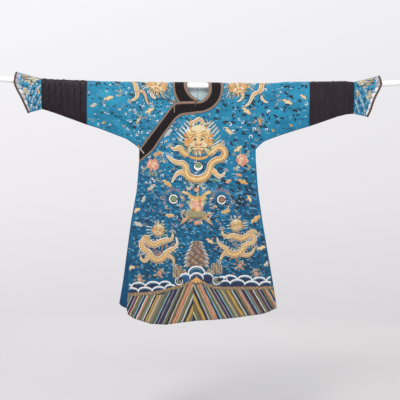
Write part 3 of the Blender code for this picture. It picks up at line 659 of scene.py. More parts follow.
def refine(stations, steps):
    fine = []
    for i in range(len(stations) - 1):
        around = [stations[max(i - 1, 0)], stations[i], stations[i + 1],
                  stations[min(i + 2, len(stations) - 1)]]
        for k in range(steps):
            row = []
            for corner in range(4):
                points = [Vector(s[corner]) for s in around]
                row.append(tuple(curvePoint(*points, k / steps)))
            fine.append(row)
    fine.append([tuple(p) for p in stations[-1]])
    return fine


# which of a station's four corners a strip lies between, and how it is made
stripKinds = {
    "band": {"corners": (1, 2), "cells": 8, "thickness": 0.0011, "crown": 0.0,
             "finish": "blackSatin", "slot": "black_satin"},
    "innerTrim": {"corners": (0, 1), "cells": 4, "thickness": 0.0012, "crown": 0.0004,
                  "finish": "brocade", "slot": "brocade"},
    "outerTrim": {"corners": (2, 3), "cells": 4, "thickness": 0.0012, "crown": 0.0004,
                  "finish": "brocade", "slot": "brocade"},
}


def makeStrip(name, kind, stations, placer, node):
    (inner, outer), cells, thickness = kind["corners"], kind["cells"], kind["thickness"]
    lift = robe["wall"] / 2 + robe["seat"] + thickness / 2
    rows, flats, run = [], [], 0.0
    previous = None
    for station in stations:
        start, end = Vector(station[inner]), Vector(station[outer])
        width = (end - start).length
        if previous is not None:
            run += ((start + end) / 2 - previous).length
        previous = (start + end) / 2
        row, flat = [], []
        for share in (i / cells for i in range(cells + 1)):
            spot = start.lerp(end, share)
            row.append(placer(*spot, lift + kind["crown"] * (1.0 - (2.0 * share - 1.0) ** 4)))
            flat.append((run, width * share))
        rows.append(row)
        flats.append(flat)
    # the outer side is the one whose normal looks away from the rod
    edge = rows[len(rows) // 2]
    outward = (edge[1] - edge[0]).cross(rows[len(rows) // 2 + 1][0] - edge[0])
    faceSide = back if placer is hangBack else front
    piece, flat, area = makeSheet(
        name, rows, flats, finishes[kind["finish"]], thickness, outward.y * faceSide < 0.0)
    finishPiece(piece, [node])


def makeBands():
    inner = leftStations() + refine(diagonalStations(bandStations), 5)
    whole = inner + refine(diagonalStations(bandStations[-1:] + bandEnd), 6)[1:]
    under, behind = rightStations(), backStations()
    for name, kind, stations, placer, node in (
            ("overlapBand", "band", whole, hangOuter, "overlap_band"),
            ("overlapInnerTrim", "innerTrim", inner, hangOuter, "overlap_band_inner_trim"),
            ("overlapOuterTrim", "outerTrim", whole, hangOuter, "overlap_band_outer_trim"),
            ("rightNeckBand", "band", under, hangUnder, "right_neck_band"),
            ("rightInnerTrim", "innerTrim", under, hangUnder, "right_neck_inner_trim"),
            ("rightOuterTrim", "outerTrim", under, hangUnder, "right_neck_outer_trim"),
            ("backNeckBand", "band", behind, hangBack, "back_neck_band"),
            ("backInnerTrim", "innerTrim", behind, hangBack, "back_neck_inner_trim"),
            ("backOuterTrim", "outerTrim", behind, hangBack, "back_neck_outer_trim")):
        makeStrip(name, stripKinds[kind], stations, placer, node)


makeBands()
print("neck and overlap bands made")

# sleeve bands and cuffs

sleeves = {
    "right": {"side": right, "start": 0.6290, "end": 0.8860, "pleat": 0.0085,
              "mouth": ((0.9660, -0.1650), (0.9860, -0.1200), (1.0040, -0.0800), (1.0230, -0.0460),
                        (1.0390, -0.0120), (1.0440, 0.0160), (1.0350, 0.0680))},
    "left": {"side": left, "start": 0.6370, "end": 0.8900, "pleat": 0.0042,
             "mouth": ((0.9730, -0.1670), (0.9880, -0.1320), (1.0010, -0.0880), (1.0160, -0.0500),
                       (1.0370, -0.0080), (1.0450, 0.0240), (1.0340, 0.0680))},
}
pleatCount = 7
# a crease that runs from the right cuff's seam up across the outer pleats
bandCrease = {"height": -0.122, "slope": 0.95, "width": 0.014, "depth": 0.0055, "first": 0.800, "rise": 0.04}
ringShares = [0.0, 0.03, 0.07, 0.12] + [0.18 + 0.82 * i / 12 for i in range(13)]
mouthDepths = ((0.0, 0.0014), (0.10, 0.0085), (0.24, 0.0145), (0.40, 0.0180), (0.56, 0.0195), (0.70, 0.0195),
               (0.82, 0.0190), (0.92, 0.0150), (0.97, 0.0095), (1.0, 0.0))
mouthShares = [0.0, 0.02, 0.05, 0.09] + [0.135 + 0.565 * i / 12 for i in range(13)]
mouthShares += [0.745, 0.79, 0.835, 0.875, 0.91, 0.94, 0.97, 1.0]


def sleeveRing(side, x, face):
    # points from the lower edge up to the top of the fold, as (height, half depth)
    column = 1 if side == right else 2
    low, top = between(sleeveLine, x, column), foldTop(side * x)
    ring = []
    for share in ringShares:
        z = low + (top - low) * share
        ring.append((z, max(hollow(side * x, z, face), 0.0012)))
    radius = robe["wrapRadius"]
    # the last quarter turn, over the rod
    for i in range(1, 9):
        turn = math.pi / 2 * (1 - i / 8)
        ring.append((top + radius * math.cos(turn), radius * math.sin(turn)))
    return ring


def closeRing(frontPart, backPart):
    # up the front, over the fold and down the back to the start again
    return frontPart + backPart[::-1][1:] + frontPart[:1]


def makeTube(name, side, rings, flats, finish, lining, thickness, nodes):
    piece, flat, area = makeSheet(name, rings, flats, finish, thickness, side == left, lining=lining,
                                  closed=True)
    finishPiece(piece, nodes)


def pleatHeight(share, height):
    # a soft knife pleat: rises slowly, drops back fast
    place = share * pleatCount % 1.0
    height *= 0.62 + 0.38 * math.sin(2.3 * int(share * pleatCount) + 0.8)
    return height * (smooth(place / 0.78) if place < 0.78 else 1.0 - smooth((place - 0.78) / 0.22))


def makeSleeveBand(name, data):
    side, start, end = data["side"], data["start"] + robe["partGap"], data["end"] - robe["partGap"]
    steps = pleatCount * 12
    rings, flats = [], []
    girth = 2 * (abs(between(sleeveLine, start, 1)) + 0.03)
    for i in range(steps + 1):
        share = i / steps
        x = start + (end - start) * share
        lift = pleatHeight(share, data["pleat"])
        frontPart, backPart = [], []
        for face, part in ((front, frontPart), (back, backPart)):
            for z, half in sleeveRing(side, x, face):
                low = smooth((foldTop(side * x) + 0.012 - z) / 0.03)
                drop = 0.35 * data["pleat"] * math.sin(9.0 * z / 0.1 + share * 40.0)
                fold = (lift + drop * 0.25) * (0.45 + 0.55 * low)
                if name == "right" and face == front:
                    away = z - bandCrease["height"] + (data["end"] - x) * bandCrease["slope"]
                    depth = bandCrease["depth"] * math.exp(-(away / bandCrease["width"]) ** 2)
                    fold -= depth * smooth((x - bandCrease["first"]) / bandCrease["rise"])
                top = foldTop(side * x)
                if z > top:
                    radius = math.hypot(z - top, half)
                    grow = (radius + fold) / radius
                    part.append(Vector((side * x, face * half * grow, top + (z - top) * grow)))
                else:
                    part.append(Vector((side * x, face * (half + fold * smooth(half / 0.006)), z)))
        ring = closeRing(frontPart, backPart)
        rings.append(ring)
        flats.append([(girth * k / (len(ring) - 1), (end - start) * 1.15 * share) for k in range(len(ring))])
    makeTube(name + "SleeveBand", side, rings, flats, finishes["darkSilk"], finishes["lining"], robe["wall"],
             [name + "_sleeve_band"])


def mouthPlace(mouth, share):
    lengths = [0.0]
    for a, b in zip(mouth, mouth[1:]):
        lengths.append(lengths[-1] + math.dist(a, b))
    target = share * lengths[-1]
    for i in range(len(mouth) - 1):
        if target <= lengths[i + 1] + 1e-9:
            t = (target - lengths[i]) / (lengths[i + 1] - lengths[i])
            around = [Vector(mouth[min(max(i + k, 0), len(mouth) - 1)]) for k in (-1, 0, 1, 2)]
            return curvePoint(*around, t)
    return Vector(mouth[-1])


def cuffRing(data, out, lift=0.0, gap=0.0):
    side, x0 = data["side"], data["end"] + robe["partGap"]
    frontPart, backPart = [], []
    for face, part in ((front, frontPart), (back, backPart)):
        for (z, half), share in zip(sleeveRing(side, x0, face), mouthShares):
            far = mouthPlace(data["mouth"], share)
            startPlace = Vector((x0, z))
            reach = (far - startPlace).length
            portion = out + gap / reach
            flat = startPlace.lerp(far, portion)
            farHalf = between(mouthDepths, share, 1)
            # the cloth belly between the seam and the mouth
            belly = 0.0022 * math.sin(math.pi * min(portion, 1.0)) * math.sin(math.pi * share)
            depth = half + (farHalf - half) * smooth(min(portion, 1.0)) + belly
            rim = smooth((share - 0.90) / 0.10)
            foot = 1.0 - smooth(share / 0.05)
            part.append(Vector((side * flat.x, face * (max(depth, 0.0) + lift * (1 - rim)),
                                flat.y + lift * rim - lift * foot)))
    return closeRing(frontPart, backPart)


def makeCuff(name, data):
    steps = 20
    rings, flats = [], []
    for i in range(steps + 1):
        ring = cuffRing(data, i / steps)
        rings.append(ring)
        flats.append([(cuffShape["girth"] * k / (len(ring) - 1), cuffShape["length"] * i / steps)
                      for k in range(len(ring))])
    makeTube(name + "Cuff", data["side"], rings, flats, finishes["blueSilk"], finishes["lining"],
             robe["wall"],
             [name + "_cuff"])
    rings, flats = [], []
    for share in (i / 6 for i in range(7)):
        gap = cuffShape["edging"] * share - 0.0125
        ring = cuffRing(data, 1.0, lift=0.0014 + 0.0004 * math.sin(math.pi * share), gap=gap)
        rings.append(ring)
        flats.append([(cuffShape["mouth"] * k / (len(ring) - 1), cuffShape["edging"] * share)
                      for k in range(len(ring))])
    makeTube(name + "CuffEdging", data["side"], rings, flats, finishes["cuffBraid"], None, 0.0011,
             [name + "_cuff_edging"])


for name, data in sleeves.items():
    makeSleeveBand(name, data)
    makeCuff(name, data)
print("sleeves and cuffs made")

# embroidery: every motif is laid from stitched strokes, drawn in millimetres across and up,
# which follow the hanging cloth; the back has the same picture as seen from behind

random.seed(11)
silk = {
    "gold": rgb(238, 184, 108), "goldLight": rgb(250, 216, 150), "goldDark": rgb(190, 122, 60),
    "orange": rgb(226, 150, 92), "coral": rgb(234, 158, 122), "red": rgb(198, 92, 68),
    "cream": rgb(242, 224, 180),
    "white": rgb(254, 254, 252), "grey": rgb(196, 204, 200), "paleGreen": rgb(196, 212, 176),
    "green": rgb(120, 156, 104), "greyGreen": rgb(150, 172, 150), "darkGreen": rgb(44, 92, 88),
    "lightBlue": rgb(150, 204, 230), "skyBlue": rgb(104, 178, 216), "midBlue": rgb(14, 86, 138),
    "navy": rgb(6, 40, 80), "darkNavy": rgb(4, 16, 38), "teal": rgb(8, 84, 114), "brown": rgb(150, 108, 78),
    "tan": rgb(204, 174, 138), "mound": rgb(164, 156, 114),
    "mustard": rgb(208, 168, 84),
    "darkBrown": rgb(84, 56, 44), "pink": rgb(238, 178, 156), "rose": rgb(230, 150, 130),
    "lilac": rgb(186, 176, 196),
    "maroon": rgb(122, 60, 72), "olive": rgb(124, 119, 82), "oliveGrey": rgb(136, 140, 118),
    "purple": rgb(84, 62, 92),
}
goldThreads = ("gold", "goldLight", "goldDark")
work = {}
canvas = {"face": front, "taken": set(), "count": 0, "place": None, "panel": ""}


def downAt(x, z):
    top = foldTop(x)
    if z < top:
        return wayDown(x, z)
    rise = (z - top) / robe["wrapRadius"]
    if rise < 1.0:
        return robe["hangStart"] * (1.0 - math.asin(rise) / (math.pi / 2))
    return -(z - top - robe["wrapRadius"])


def inBand(x, z):
    # under the neck bands or the diagonal band of the front, or the neck band of the back
    v = downAt(x, z)
    if canvas["face"] == back:
        return v < 0.052 + 0.05 * (1.0 - min(abs(x) / 0.147, 1.0) ** 2) ** 0.5 and abs(x) < 0.147
    if abs(x) < 0.150:
        a, b, middle = (0.147, 0.1446, 0.045) if x > 0 else (0.144, 0.157, 0.030)
        narrowing = math.sqrt(max(1.0 - ((middle - v) / 0.160) ** 2, 0.0)) if v < middle else 1.0
        below = max(v - middle, 0.0) / b
        if (x / (a * narrowing)) ** 2 + below ** 2 < 1.0:
            return True
    if -0.335 < x < 0.0:
        corners = [(s[0], s[1]) for s in bandStations + bandEnd[:1]]
        corners += [(s[2], s[3]) for s in (bandStations + bandEnd[:1])[::-1]]
        inside = False
        for (xa, za), (xb, zb) in zip(corners, corners[1:] + corners[:1]):
            if (za > z) != (zb > z) and x < xa + (xb - xa) * (z - za) / (zb - za):
                inside = not inside
        return inside
    return False


def onOverlap(x, z):
    return canvas["face"] == front and x < 0 and z < between(overlapTop, -x,
            1) and -x < between(overlapSide, z, 1)


def onCloth(x, z, margin=0.0025):
    column = 1 if x < 0 else 2
    if canvas["place"]:
        return True
    if inBand(x, z):
        return False
    if canvas["face"] == front and z < -0.115 and x < 0:
        if not onOverlap(x, z) and not (z > between(overlapTop, -x, 1) + 0.004 and z > -0.40):
            return False
        if onOverlap(x, z) and -x > between(overlapSide, z, 1) - margin:
            return False
    if z < robe["underarm"] + 0.02 and abs(x) > between(sideLine, z, column) - margin:
        return False
    if z > robe["underarm"] and abs(x) > 0.330:
        if z < between(sleeveLine, abs(x), column) + margin or abs(x) > (0.626 if x < 0 else 0.634):
            return False
    if z < -1.2:
        if canvas["face"] == back:
            hem = between(hemLine, abs(x), 4 if x > 0 else 5)
        else:
            hem = between(hemLine, abs(x), 1 if x > 0 else 2)
        return z > hem + 0.0005
    return True


def settle(x, z, lift, outer):
    if canvas["place"]:
        return canvas["place"](x, z, lift)
    v = downAt(x, z)
    if canvas["face"] == back:
        return hang(x, v, back, lift) if v >= 0 else hang(x, -v, front, lift)
    if v < 0:
        return hang(x, -v, back, lift)
    return hangOuter(x, v, lift) if outer else hangUnder(x, v, lift)


def curve(points, spacing):
    # a smooth line through the points, evenly cut
    line = [Vector(p) for p in points]
    ends = [line[0] * 2 - line[1]] + line + [line[-1] * 2 - line[-2]]
    fine = []
    for i in range(len(line) - 1):
        count = max(1, round((line[i + 1] - line[i]).length / spacing))
        for k in range(count):
            fine.append((curvePoint(ends[i], ends[i + 1], ends[i + 2], ends[i + 3], k / count),
                         i + k / count))
    fine.append((line[-1], len(line) - 1.0))
    return fine


strokeShape = {
    # height over the cloth of the lowest stroke, and what each layer adds, in metres
    "base": 0.00058, "layer": 0.00017, "stagger": 0.000004,
    # how high a stroke is domed, and what each millimetre of width adds
    "crown": 0.00030, "crownWide": 0.000012,
    # millimetres of the cells that are marked as covered
    "cell": 9,
}


def widthAt(widths, place):
    low = min(int(place), len(widths) - 2)
    return widths[low] + (widths[low + 1] - widths[low]) * (place - low)


def stitch(points, width, colour, layer=1, shape="lens", spacing=6.5):
    # one closed, slightly raised stroke; a list of widths gives one for each point
    fine = curve(points, spacing)
    while len(fine) < 4:
        spacing *= 0.6
        fine = curve(points, spacing)
    total = len(points) - 1.0
    side = 1.0 if canvas["face"] == front else -1.0
    rows = []
    for i, (spot, place) in enumerate(fine):
        ahead = fine[min(i + 1, len(fine) - 1)][0] - fine[max(i - 1, 0)][0]
        if ahead.length < 1e-6:
            continue
        across = Vector((-ahead.y, ahead.x)).normalized()
        if isinstance(width, (list, tuple)):
            wide = widthAt(width, place)
        elif shape == "lens":
            wide = width * math.sin(math.pi * min(max(place / total, 0.0), 1.0)) ** 0.7
        else:
            wide = width
        rows.append((spot, across, max(wide, 0.25)))
    run = []
    for row in rows + [None]:
        if row is not None:
            spot, across, wide = row
            edges = [spot + across * wide * s for s in (-0.46, 0.0, 0.46)]
            if all(onCloth(side * e.x / 1000, e.y / 1000) for e in edges):
                run.append(row)
                continue
        if len(run) >= 3:
            layStroke(run, colour, layer, side, shape)
        run = []


def threadMesh(x, colour):
    facePanel = ("back" if canvas["face"] == back else "front") + ("Left" if x >= 0 else "Right")
    kind = "Gold" if colour in goldThreads else "Silk"
    fresh = {"points": [], "faces": [], "colours": [], "uvs": []}
    return work.setdefault((canvas["panel"] or facePanel) + kind, fresh)


def tinted(colour, spread):
    shade = 1.0 + random.uniform(-spread, spread)
    return tuple(min(c * shade, 1.0) for c in silk[colour][:3]) + (1.0,)


def cellAt(x, z):
    return (canvas["face"], round(x / strokeShape["cell"]), round(z / strokeShape["cell"]))


def layStroke(run, colour, layer, side, shape):
    widest = max(row[2] for row in run)
    cuts = 2 if widest < 9 else 4 if widest < 20 else 6
    middle = run[len(run) // 2][0]
    x, z = side * middle.x / 1000, middle.y / 1000
    outer = canvas["face"] == front and (x >= 0 or onOverlap(x, z))
    mesh = threadMesh(x, colour)
    canvas["count"] += 1
    base = strokeShape["base"] + strokeShape["layer"] * layer
    base += strokeShape["stagger"] * (canvas["count"] % 11)
    crown = strokeShape["crown"] + strokeShape["crownWide"] * min(widest, 18)
    tint = tinted(colour, 0.07)
    length, before = 0.0, None

    def add(spot, lift, u, v):
        mesh["points"].append(settle(side * spot.x / 1000, spot.y / 1000, lift, outer))
        mesh["colours"].append(tint)
        mesh["uvs"].append((u / 1000, v / 1000))
        return len(mesh["points"]) - 1

    rings = []
    last = len(run) - 1
    for i, (spot, across, wide) in enumerate(run):
        if before is not None:
            length += (spot - before).length
        before = spot
        canvas["taken"].add(cellAt(spot.x, spot.y))
        if i in (0, last):
            rings.append([add(spot, base + crown * 0.4, length, 0.0)])
            continue
        if shape == "band" and i in (1, last - 1):
            wide *= 0.92
        ring = []
        for k in range(cuts + 1):
            s = k / cuts * 2.0 - 1.0
            ring.append(add(spot - across * wide * 0.5 * s, base + crown * (1.0 - s * s), length, wide * s))
        rings.append(ring)
        if wide > 16:
            canvas["taken"].update(cellAt(*(spot + across * wide * s)) for s in (-0.4, 0.4))
    faces = mesh["faces"]
    for a, b in zip(rings, rings[1:]):
        if len(a) == 1 and len(b) == 1:
            continue
        if len(a) == 1:
            faces.extend((a[0], b[k + 1], b[k]) for k in range(cuts))
            faces.append((a[0], b[0], b[-1]))
        elif len(b) == 1:
            faces.extend((a[k], a[k + 1], b[0]) for k in range(cuts))
            faces.append((a[-1], a[0], b[0]))
        else:
            faces.extend((a[k], a[k + 1], b[k + 1], b[k]) for k in range(cuts))
            faces.append((a[-1], a[0], b[0], b[-1]))


def polar(x, z, reach, turn, up=None):
    # the place at a distance and a direction in degrees
    angle = math.radians(turn)
    return (x + reach * math.cos(angle), z + (reach if up is None else up) * math.sin(angle))


def blob(x, z, wide, tall, colour, layer=1, turn=0.0):
    # a filled round or oval patch
    c, s = math.cos(math.radians(turn)), math.sin(math.radians(turn))
    points, widths = [], []
    for i in range(9):
        t = math.cos(math.pi * (1 - i / 8))
        points.append((x + c * wide / 2 * t, z + s * wide / 2 * t))
        widths.append(max(tall * math.sqrt(max(1.0 - t * t, 0.0)), 0.3))
    stitch(points, widths, colour, layer, spacing=max(wide / 9, 1.2))


def arc(x, z, radius, start, end, width, colour, layer=1, shape="lens"):
    steps = max(4, round(abs(end - start) / 32))
    points = [polar(x, z, radius, start + (end - start) * i / steps) for i in range(steps + 1)]
    stitch(points, width, colour, layer, shape, spacing=max(radius * 0.45, 1.5))


def curl(x, z, size, turn, colour, layer=1, width=None, way=1):
    # a small hooked curl with a tail
    points = [polar(x, z, size * (0.18 + 0.34 * s), turn + way * 290 * s) for s in (i / 6 for i in range(7))]
    points.append(polar(x, z, size * 0.95, turn + way * 360))
    stitch(points, width or size * 0.30, colour, layer, spacing=size * 0.34)


def outlined(points, widths, fill, edge, layer=1, rim=4.0):
    stitch(points, [w + rim for w in widths], edge, layer, "band")
    stitch(points, widths, fill, layer + 1, "band")


def cloud(x, z, size, turn, fill, edge):
    # a drawn-out cloud: lobes set to either side of its line, each with a curl in it
    c, s = math.cos(math.radians(turn)), math.sin(math.radians(turn))

    def at(u, v):
        return (x + (c * u - s * v) * size, z + (s * u + c * v) * size)

    outlined([at(-0.72, -0.06), at(-0.3, 0.06), at(0.1, -0.04), at(0.45, 0.04), at(0.7, -0.04)],
             [size * w for w in (0.05, 0.24, 0.30, 0.26, 0.06)], fill, edge, 1, 4.0)
    for i, (u, v, big) in enumerate(((-0.36, 0.13, 0.26), (-0.10, -0.15, 0.28), (0.14, 0.15, 0.34),
                                     (0.40, -0.08, 0.26))):
        px, pz = at(u, v)
        blob(px, pz, size * big + 4, size * big * 0.9 + 3, edge, 1, turn)
        blob(px, pz, size * big, size * big * 0.86, fill, 2, turn)
        curl(px, pz, size * big * 0.55, turn + 90 * i, ("orange", "greyGreen", edge, "goldDark")[i], 3,
             size * 0.06)


def peony(x, z, size, turn=0.0):
    leaf = (size * 0.20, "greyGreen") if size > 50 else (11, "tan")
    for angle in (20, 70, 200, 285):
        c, s = polar(0, 0, 1, turn + angle)
        stitch([(x + c * size * 0.42, z + s * size * 0.42),
                (x + c * size * 0.7 - s * 4, z + s * size * 0.7 + c * 4),
                (x + c * size * 0.92, z + s * size * 0.92)], *leaf, 0)
    for ring, count, reach in ((0, 9, 0.38), (1, 8, 0.28), (2, 6, 0.18), (3, 4, 0.09)):
        for i in range(count):
            angle = turn + ring * 21 + i * 360 / count + random.uniform(-11, 11)
            near = size * (reach + random.uniform(-0.035, 0.035))
            big = size * random.uniform(0.20, 0.29)
            petal = random.choice(("cream", "pink", "pink", "rose", "coral"))
            blob(*polar(x, z, near, angle), big, big * 0.84, petal, 1 + ring, angle + 90)
            eye = random.choice(("coral", "red", "cream"))
            blob(*polar(x, z, near * 1.08, angle), big * 0.36, big * 0.34, eye, 2 + ring, angle)
    blob(x + size * 0.02, z, size * 0.15, size * 0.13, "coral", 5)
    blob(x, z + size * 0.03, size * 0.07, size * 0.06, "goldLight", 6)


def sprig(x, z, size, turn, colour, accent):
    # a bud with two or three small leaves
    for offset, reach in ((-38, 0.42), (0, 0.55), (38, 0.42), (150, 0.4), (205, 0.36)):
        bend = polar(x - 1.5, z + 1, size * reach * 0.55, turn + offset)
        stitch([(x, z), bend, polar(x, z, size * reach, turn + offset)], size * 0.20, colour, 1)
    blob(x, z, size * 0.2, size * 0.18, accent, 2, turn)


def along(points, widths, spacing):
    # number, place, direction, side and width at even steps of a line
    fine = curve(points, spacing)
    for i in range(1, len(fine) - 1):
        spot, place = fine[i]
        ahead = (fine[i + 1][0] - fine[i - 1][0]).normalized()
        yield i, spot, ahead, Vector((-ahead.y, ahead.x)), widthAt(widths, place)


def scaled(points, widths, fill="gold", edge="white", mark="orange", layer=1):
    # a long body or limb with rows of scale arcs, a paler rim and a dark line outside it, and a paler strip
    # down its middle that is a painted highlight
    stitch(points, [w + 15.0 for w in widths], "darkGreen", 0, "band")
    outlined(points, widths, fill, edge, layer, 8.0)
    # painted highlight: a paler strip down the middle of the body, where its round would catch the light
    light = "goldLight" if fill == "gold" else "cream"
    stitch(points, [w * 0.46 for w in widths], light, layer + 2, "band")
    for i, spot, ahead, across, wide in along(points, widths, 6.0):
        if wide < 8:
            continue
        if i % 5 == 2:
            middle = spot + across * wide * random.uniform(-0.25, 0.25)
            stitch([middle - ahead * 6, middle, middle + ahead * 7], wide * 0.34,
                   ("orange", "cream", "goldDark")[i // 5 % 3], layer + 2, spacing=6.0)
        count = 2 if wide < 18 else 3
        for k in range(count):
            s = (k + 0.5 + 0.5 * (i % 2)) / count - 0.5
            if abs(s) > 0.45:
                continue
            centre, half = spot + across * wide * s, across * (wide / count * 0.48)
            stitch([centre - half, centre + ahead * 3.4, centre + half], 2.8,
                   (mark, "brown", "cream", "oliveGrey")[(i * 2 + k) % 4], layer + 3, spacing=4.0)


def spines(points, widths, size, colours):
    # pointed fins that stand out on both sides of a body and sweep back
    for i, spot, ahead, across, wide in list(along(points, widths, 9.0))[1:-1]:
        if wide < 9:
            continue
        across = across * (1 if i % 2 else -1)
        reach = size * (0.75 + 0.35 * math.sin(i * 2.1))
        root = spot + across * (wide / 2 + 2)
        stitch([root - ahead * 3, root + across * reach * 0.5 - ahead, root + across * reach + ahead * 5],
               7.5, colours[i % len(colours)], 2, spacing=4.0)


def claw(x, z, turn, size):
    blob(x, z, size * 0.62, size * 0.5, "gold", 3, turn)
    for offset in (-72, -36, 0, 36, 72):
        root = polar(x, z, size * 0.22, turn + offset)
        knee = polar(x, z, size * 0.62, turn + offset)
        stitch([root, knee, polar(*knee, size * 0.42, turn + offset + 34)], size * 0.17, "white", 3,
               spacing=size * 0.3)


def hairs(lines, colours, width, layer=0):
    # fine locks, bowed to one side and the other by turns
    for i, (x0, z0, x1, z1) in enumerate(lines):
        aside = Vector((z1 - z0, x0 - x1)).normalized() * 5.0 * (1 if i % 2 else -0.6)
        middle = ((x0 + x1) / 2 + aside.x, (z0 + z1) / 2 + aside.y)
        stitch([(x0, z0), middle, (x1, z1)], width, colours[i % len(colours)], layer)


def spread(first, last, count):
    # lines spread evenly from the first to the last
    return [tuple(p + (q - p) * i / (count - 1) for p, q in zip(first, last)) for i in range(count)]


def dragonHead(x, z, size, turn=0.0):
    # a full-faced head, drawn 100 across and turned and scaled into its place
    c, s = math.cos(math.radians(turn)), math.sin(math.radians(turn))
    k = size / 100.0

    def at(u, v):
        return (x + (c * u - s * v) * k, z + (s * u + c * v) * k)

    def patch(u, v, wide, tall, colour, layer, tilt=0.0):
        blob(*at(u, v), wide * k, tall * k, colour, layer, turn + tilt)

    def line(way, width, colour, layer, *spots):
        stitch([at(way * u, v) for u, v in spots], width * k, colour, layer, spacing=max(7 * k, 2.4))

    patch(0, -2, 128, 118, "darkGreen", 0)
    # the mane stands out all round in thick locks
    for i in range(22):
        ca, sa = polar(0, 0, 1, -58 + i * 296 / 21)
        line(1, 9, ("cream", "greyGreen", "white", "orange", "white")[i % 5], 1,
             (38 * ca, 2 + 38 * sa), (52 * ca - 3 * sa, 2 + 52 * sa + 3 * ca),
             (66 * ca + 5 * sa, 2 + 64 * sa - 5 * ca))
    patch(0, 20, 96, 62, "goldLight", 2)
    patch(0, 40, 62, 34, "cream", 3)
    for way in (-1, 1):
        patch(way * 38, -14, 42, 46, "gold", 2, way * -30)
        patch(way * 52, 12, 22, 14, "orange", 2, way * 30)
        patch(way * 22, -22, 34, 34, "cream", 3)
    patch(0, -34, 54, 38, "goldLight", 2)
    # speckled brow and cheeks
    for i in range(46):
        turnBy, reach = i * 2.4, 47 * math.sqrt((i + 0.5) / 46)
        u, v = 1.02 * reach * math.cos(turnBy), 4 + 0.98 * reach * math.sin(turnBy)
        line(1, 3.6, ("goldDark", "orange", "cream", "tan", "goldLight", "brown")[i % 6], 4,
             (u - 4, v - 2), (u, v + 2), (u + 4, v - 1))
    for way in (-1, 1):
        # bulging eyes under heavy brows, and a coiled ear
        patch(way * 15, 1, 19, 14, "cream", 5, way * 16)
        patch(way * 14, 0, 11, 10, "darkBrown", 6)
        line(way, 4.5, "goldDark", 6, (7, 7), (15, 12), (25, 8), (31, 0))
        line(way, 5, "orange", 6, (9, 13), (18, 19), (32, 15), (42, 22))
        line(way, 4, "goldDark", 5, (8, 22), (20, 30), (34, 26))
        curl(*at(way * 46, -4), 20 * k, 90 - way * 60, "orange", 5, 5 * k, way)
        patch(way * 9, -22, 16, 14, "rose", 5)
        patch(way * 9, -24, 6, 5, "darkBrown", 6)
        for i, colour in enumerate(("orange", "cream", "brown", "greyGreen")):
            line(way, 4.5, colour, 5, (24 + i * 5, -14 - i * 6), (36 + i * 4, -18 - i * 8),
                 (46 + i * 2, -30 - i * 8))
        line(way, 4, "brown", 5, (4, -36), (16, -34), (28, -37))
        line(way, 5, "white", 6, (12, -38), (14, -45), (12, -50))
        # horns, and the beard under the jaw
        line(way, 8, "cream", 2, (16, 46), (26, 60), (42, 64), (50, 78))
        line(way, 5, "gold", 2, (32, 62), (36, 72), (31, 82))
        for i, colour in enumerate(("cream", "orange", "greyGreen", "cream", "green")):
            line(way, 8, colour, 3, (5 + i * 9, -48 + i * 3), (8 + i * 11, -60 + i * 4),
                 (7 + i * 14, -74 + i * 8))
    patch(0, -14, 20, 30, "goldLight", 5)
    patch(0, -45, 22, 9, "rose", 4)


def pearl(x, z, radius):
    blob(x, z, radius * 2.6, radius * 2.6, "navy", 0)
    blob(x, z, radius * 2.1, radius * 2.1, "white", 1)
    blob(x, z + radius * 0.18, radius * 1.6, radius * 1.5, "green", 2)
    arc(x, z + radius * 0.18, radius * 0.45, 20, 330, radius * 0.2, "greyGreen", 3)
    blob(x, z + radius * 0.55, radius * 0.7, radius * 0.3, "gold", 3)


def flames(x, z, spots, size, colours=("brown", "coral")):
    for i, (dx, dz, turn) in enumerate(spots):
        ahead = Vector(polar(0, 0, 1, turn))
        side = Vector((-ahead.y, ahead.x)) * size * 0.25
        for k in (-1, 0, 1):
            root = Vector((x + dx, z + dz)) + side * k
            stitch([root, root + ahead * size * 0.5 + side * 0.5 * k, root + ahead * size + side * 1.2 * k],
                   size * 0.13, colours[(i + k) % len(colours)], 1, spacing=4)


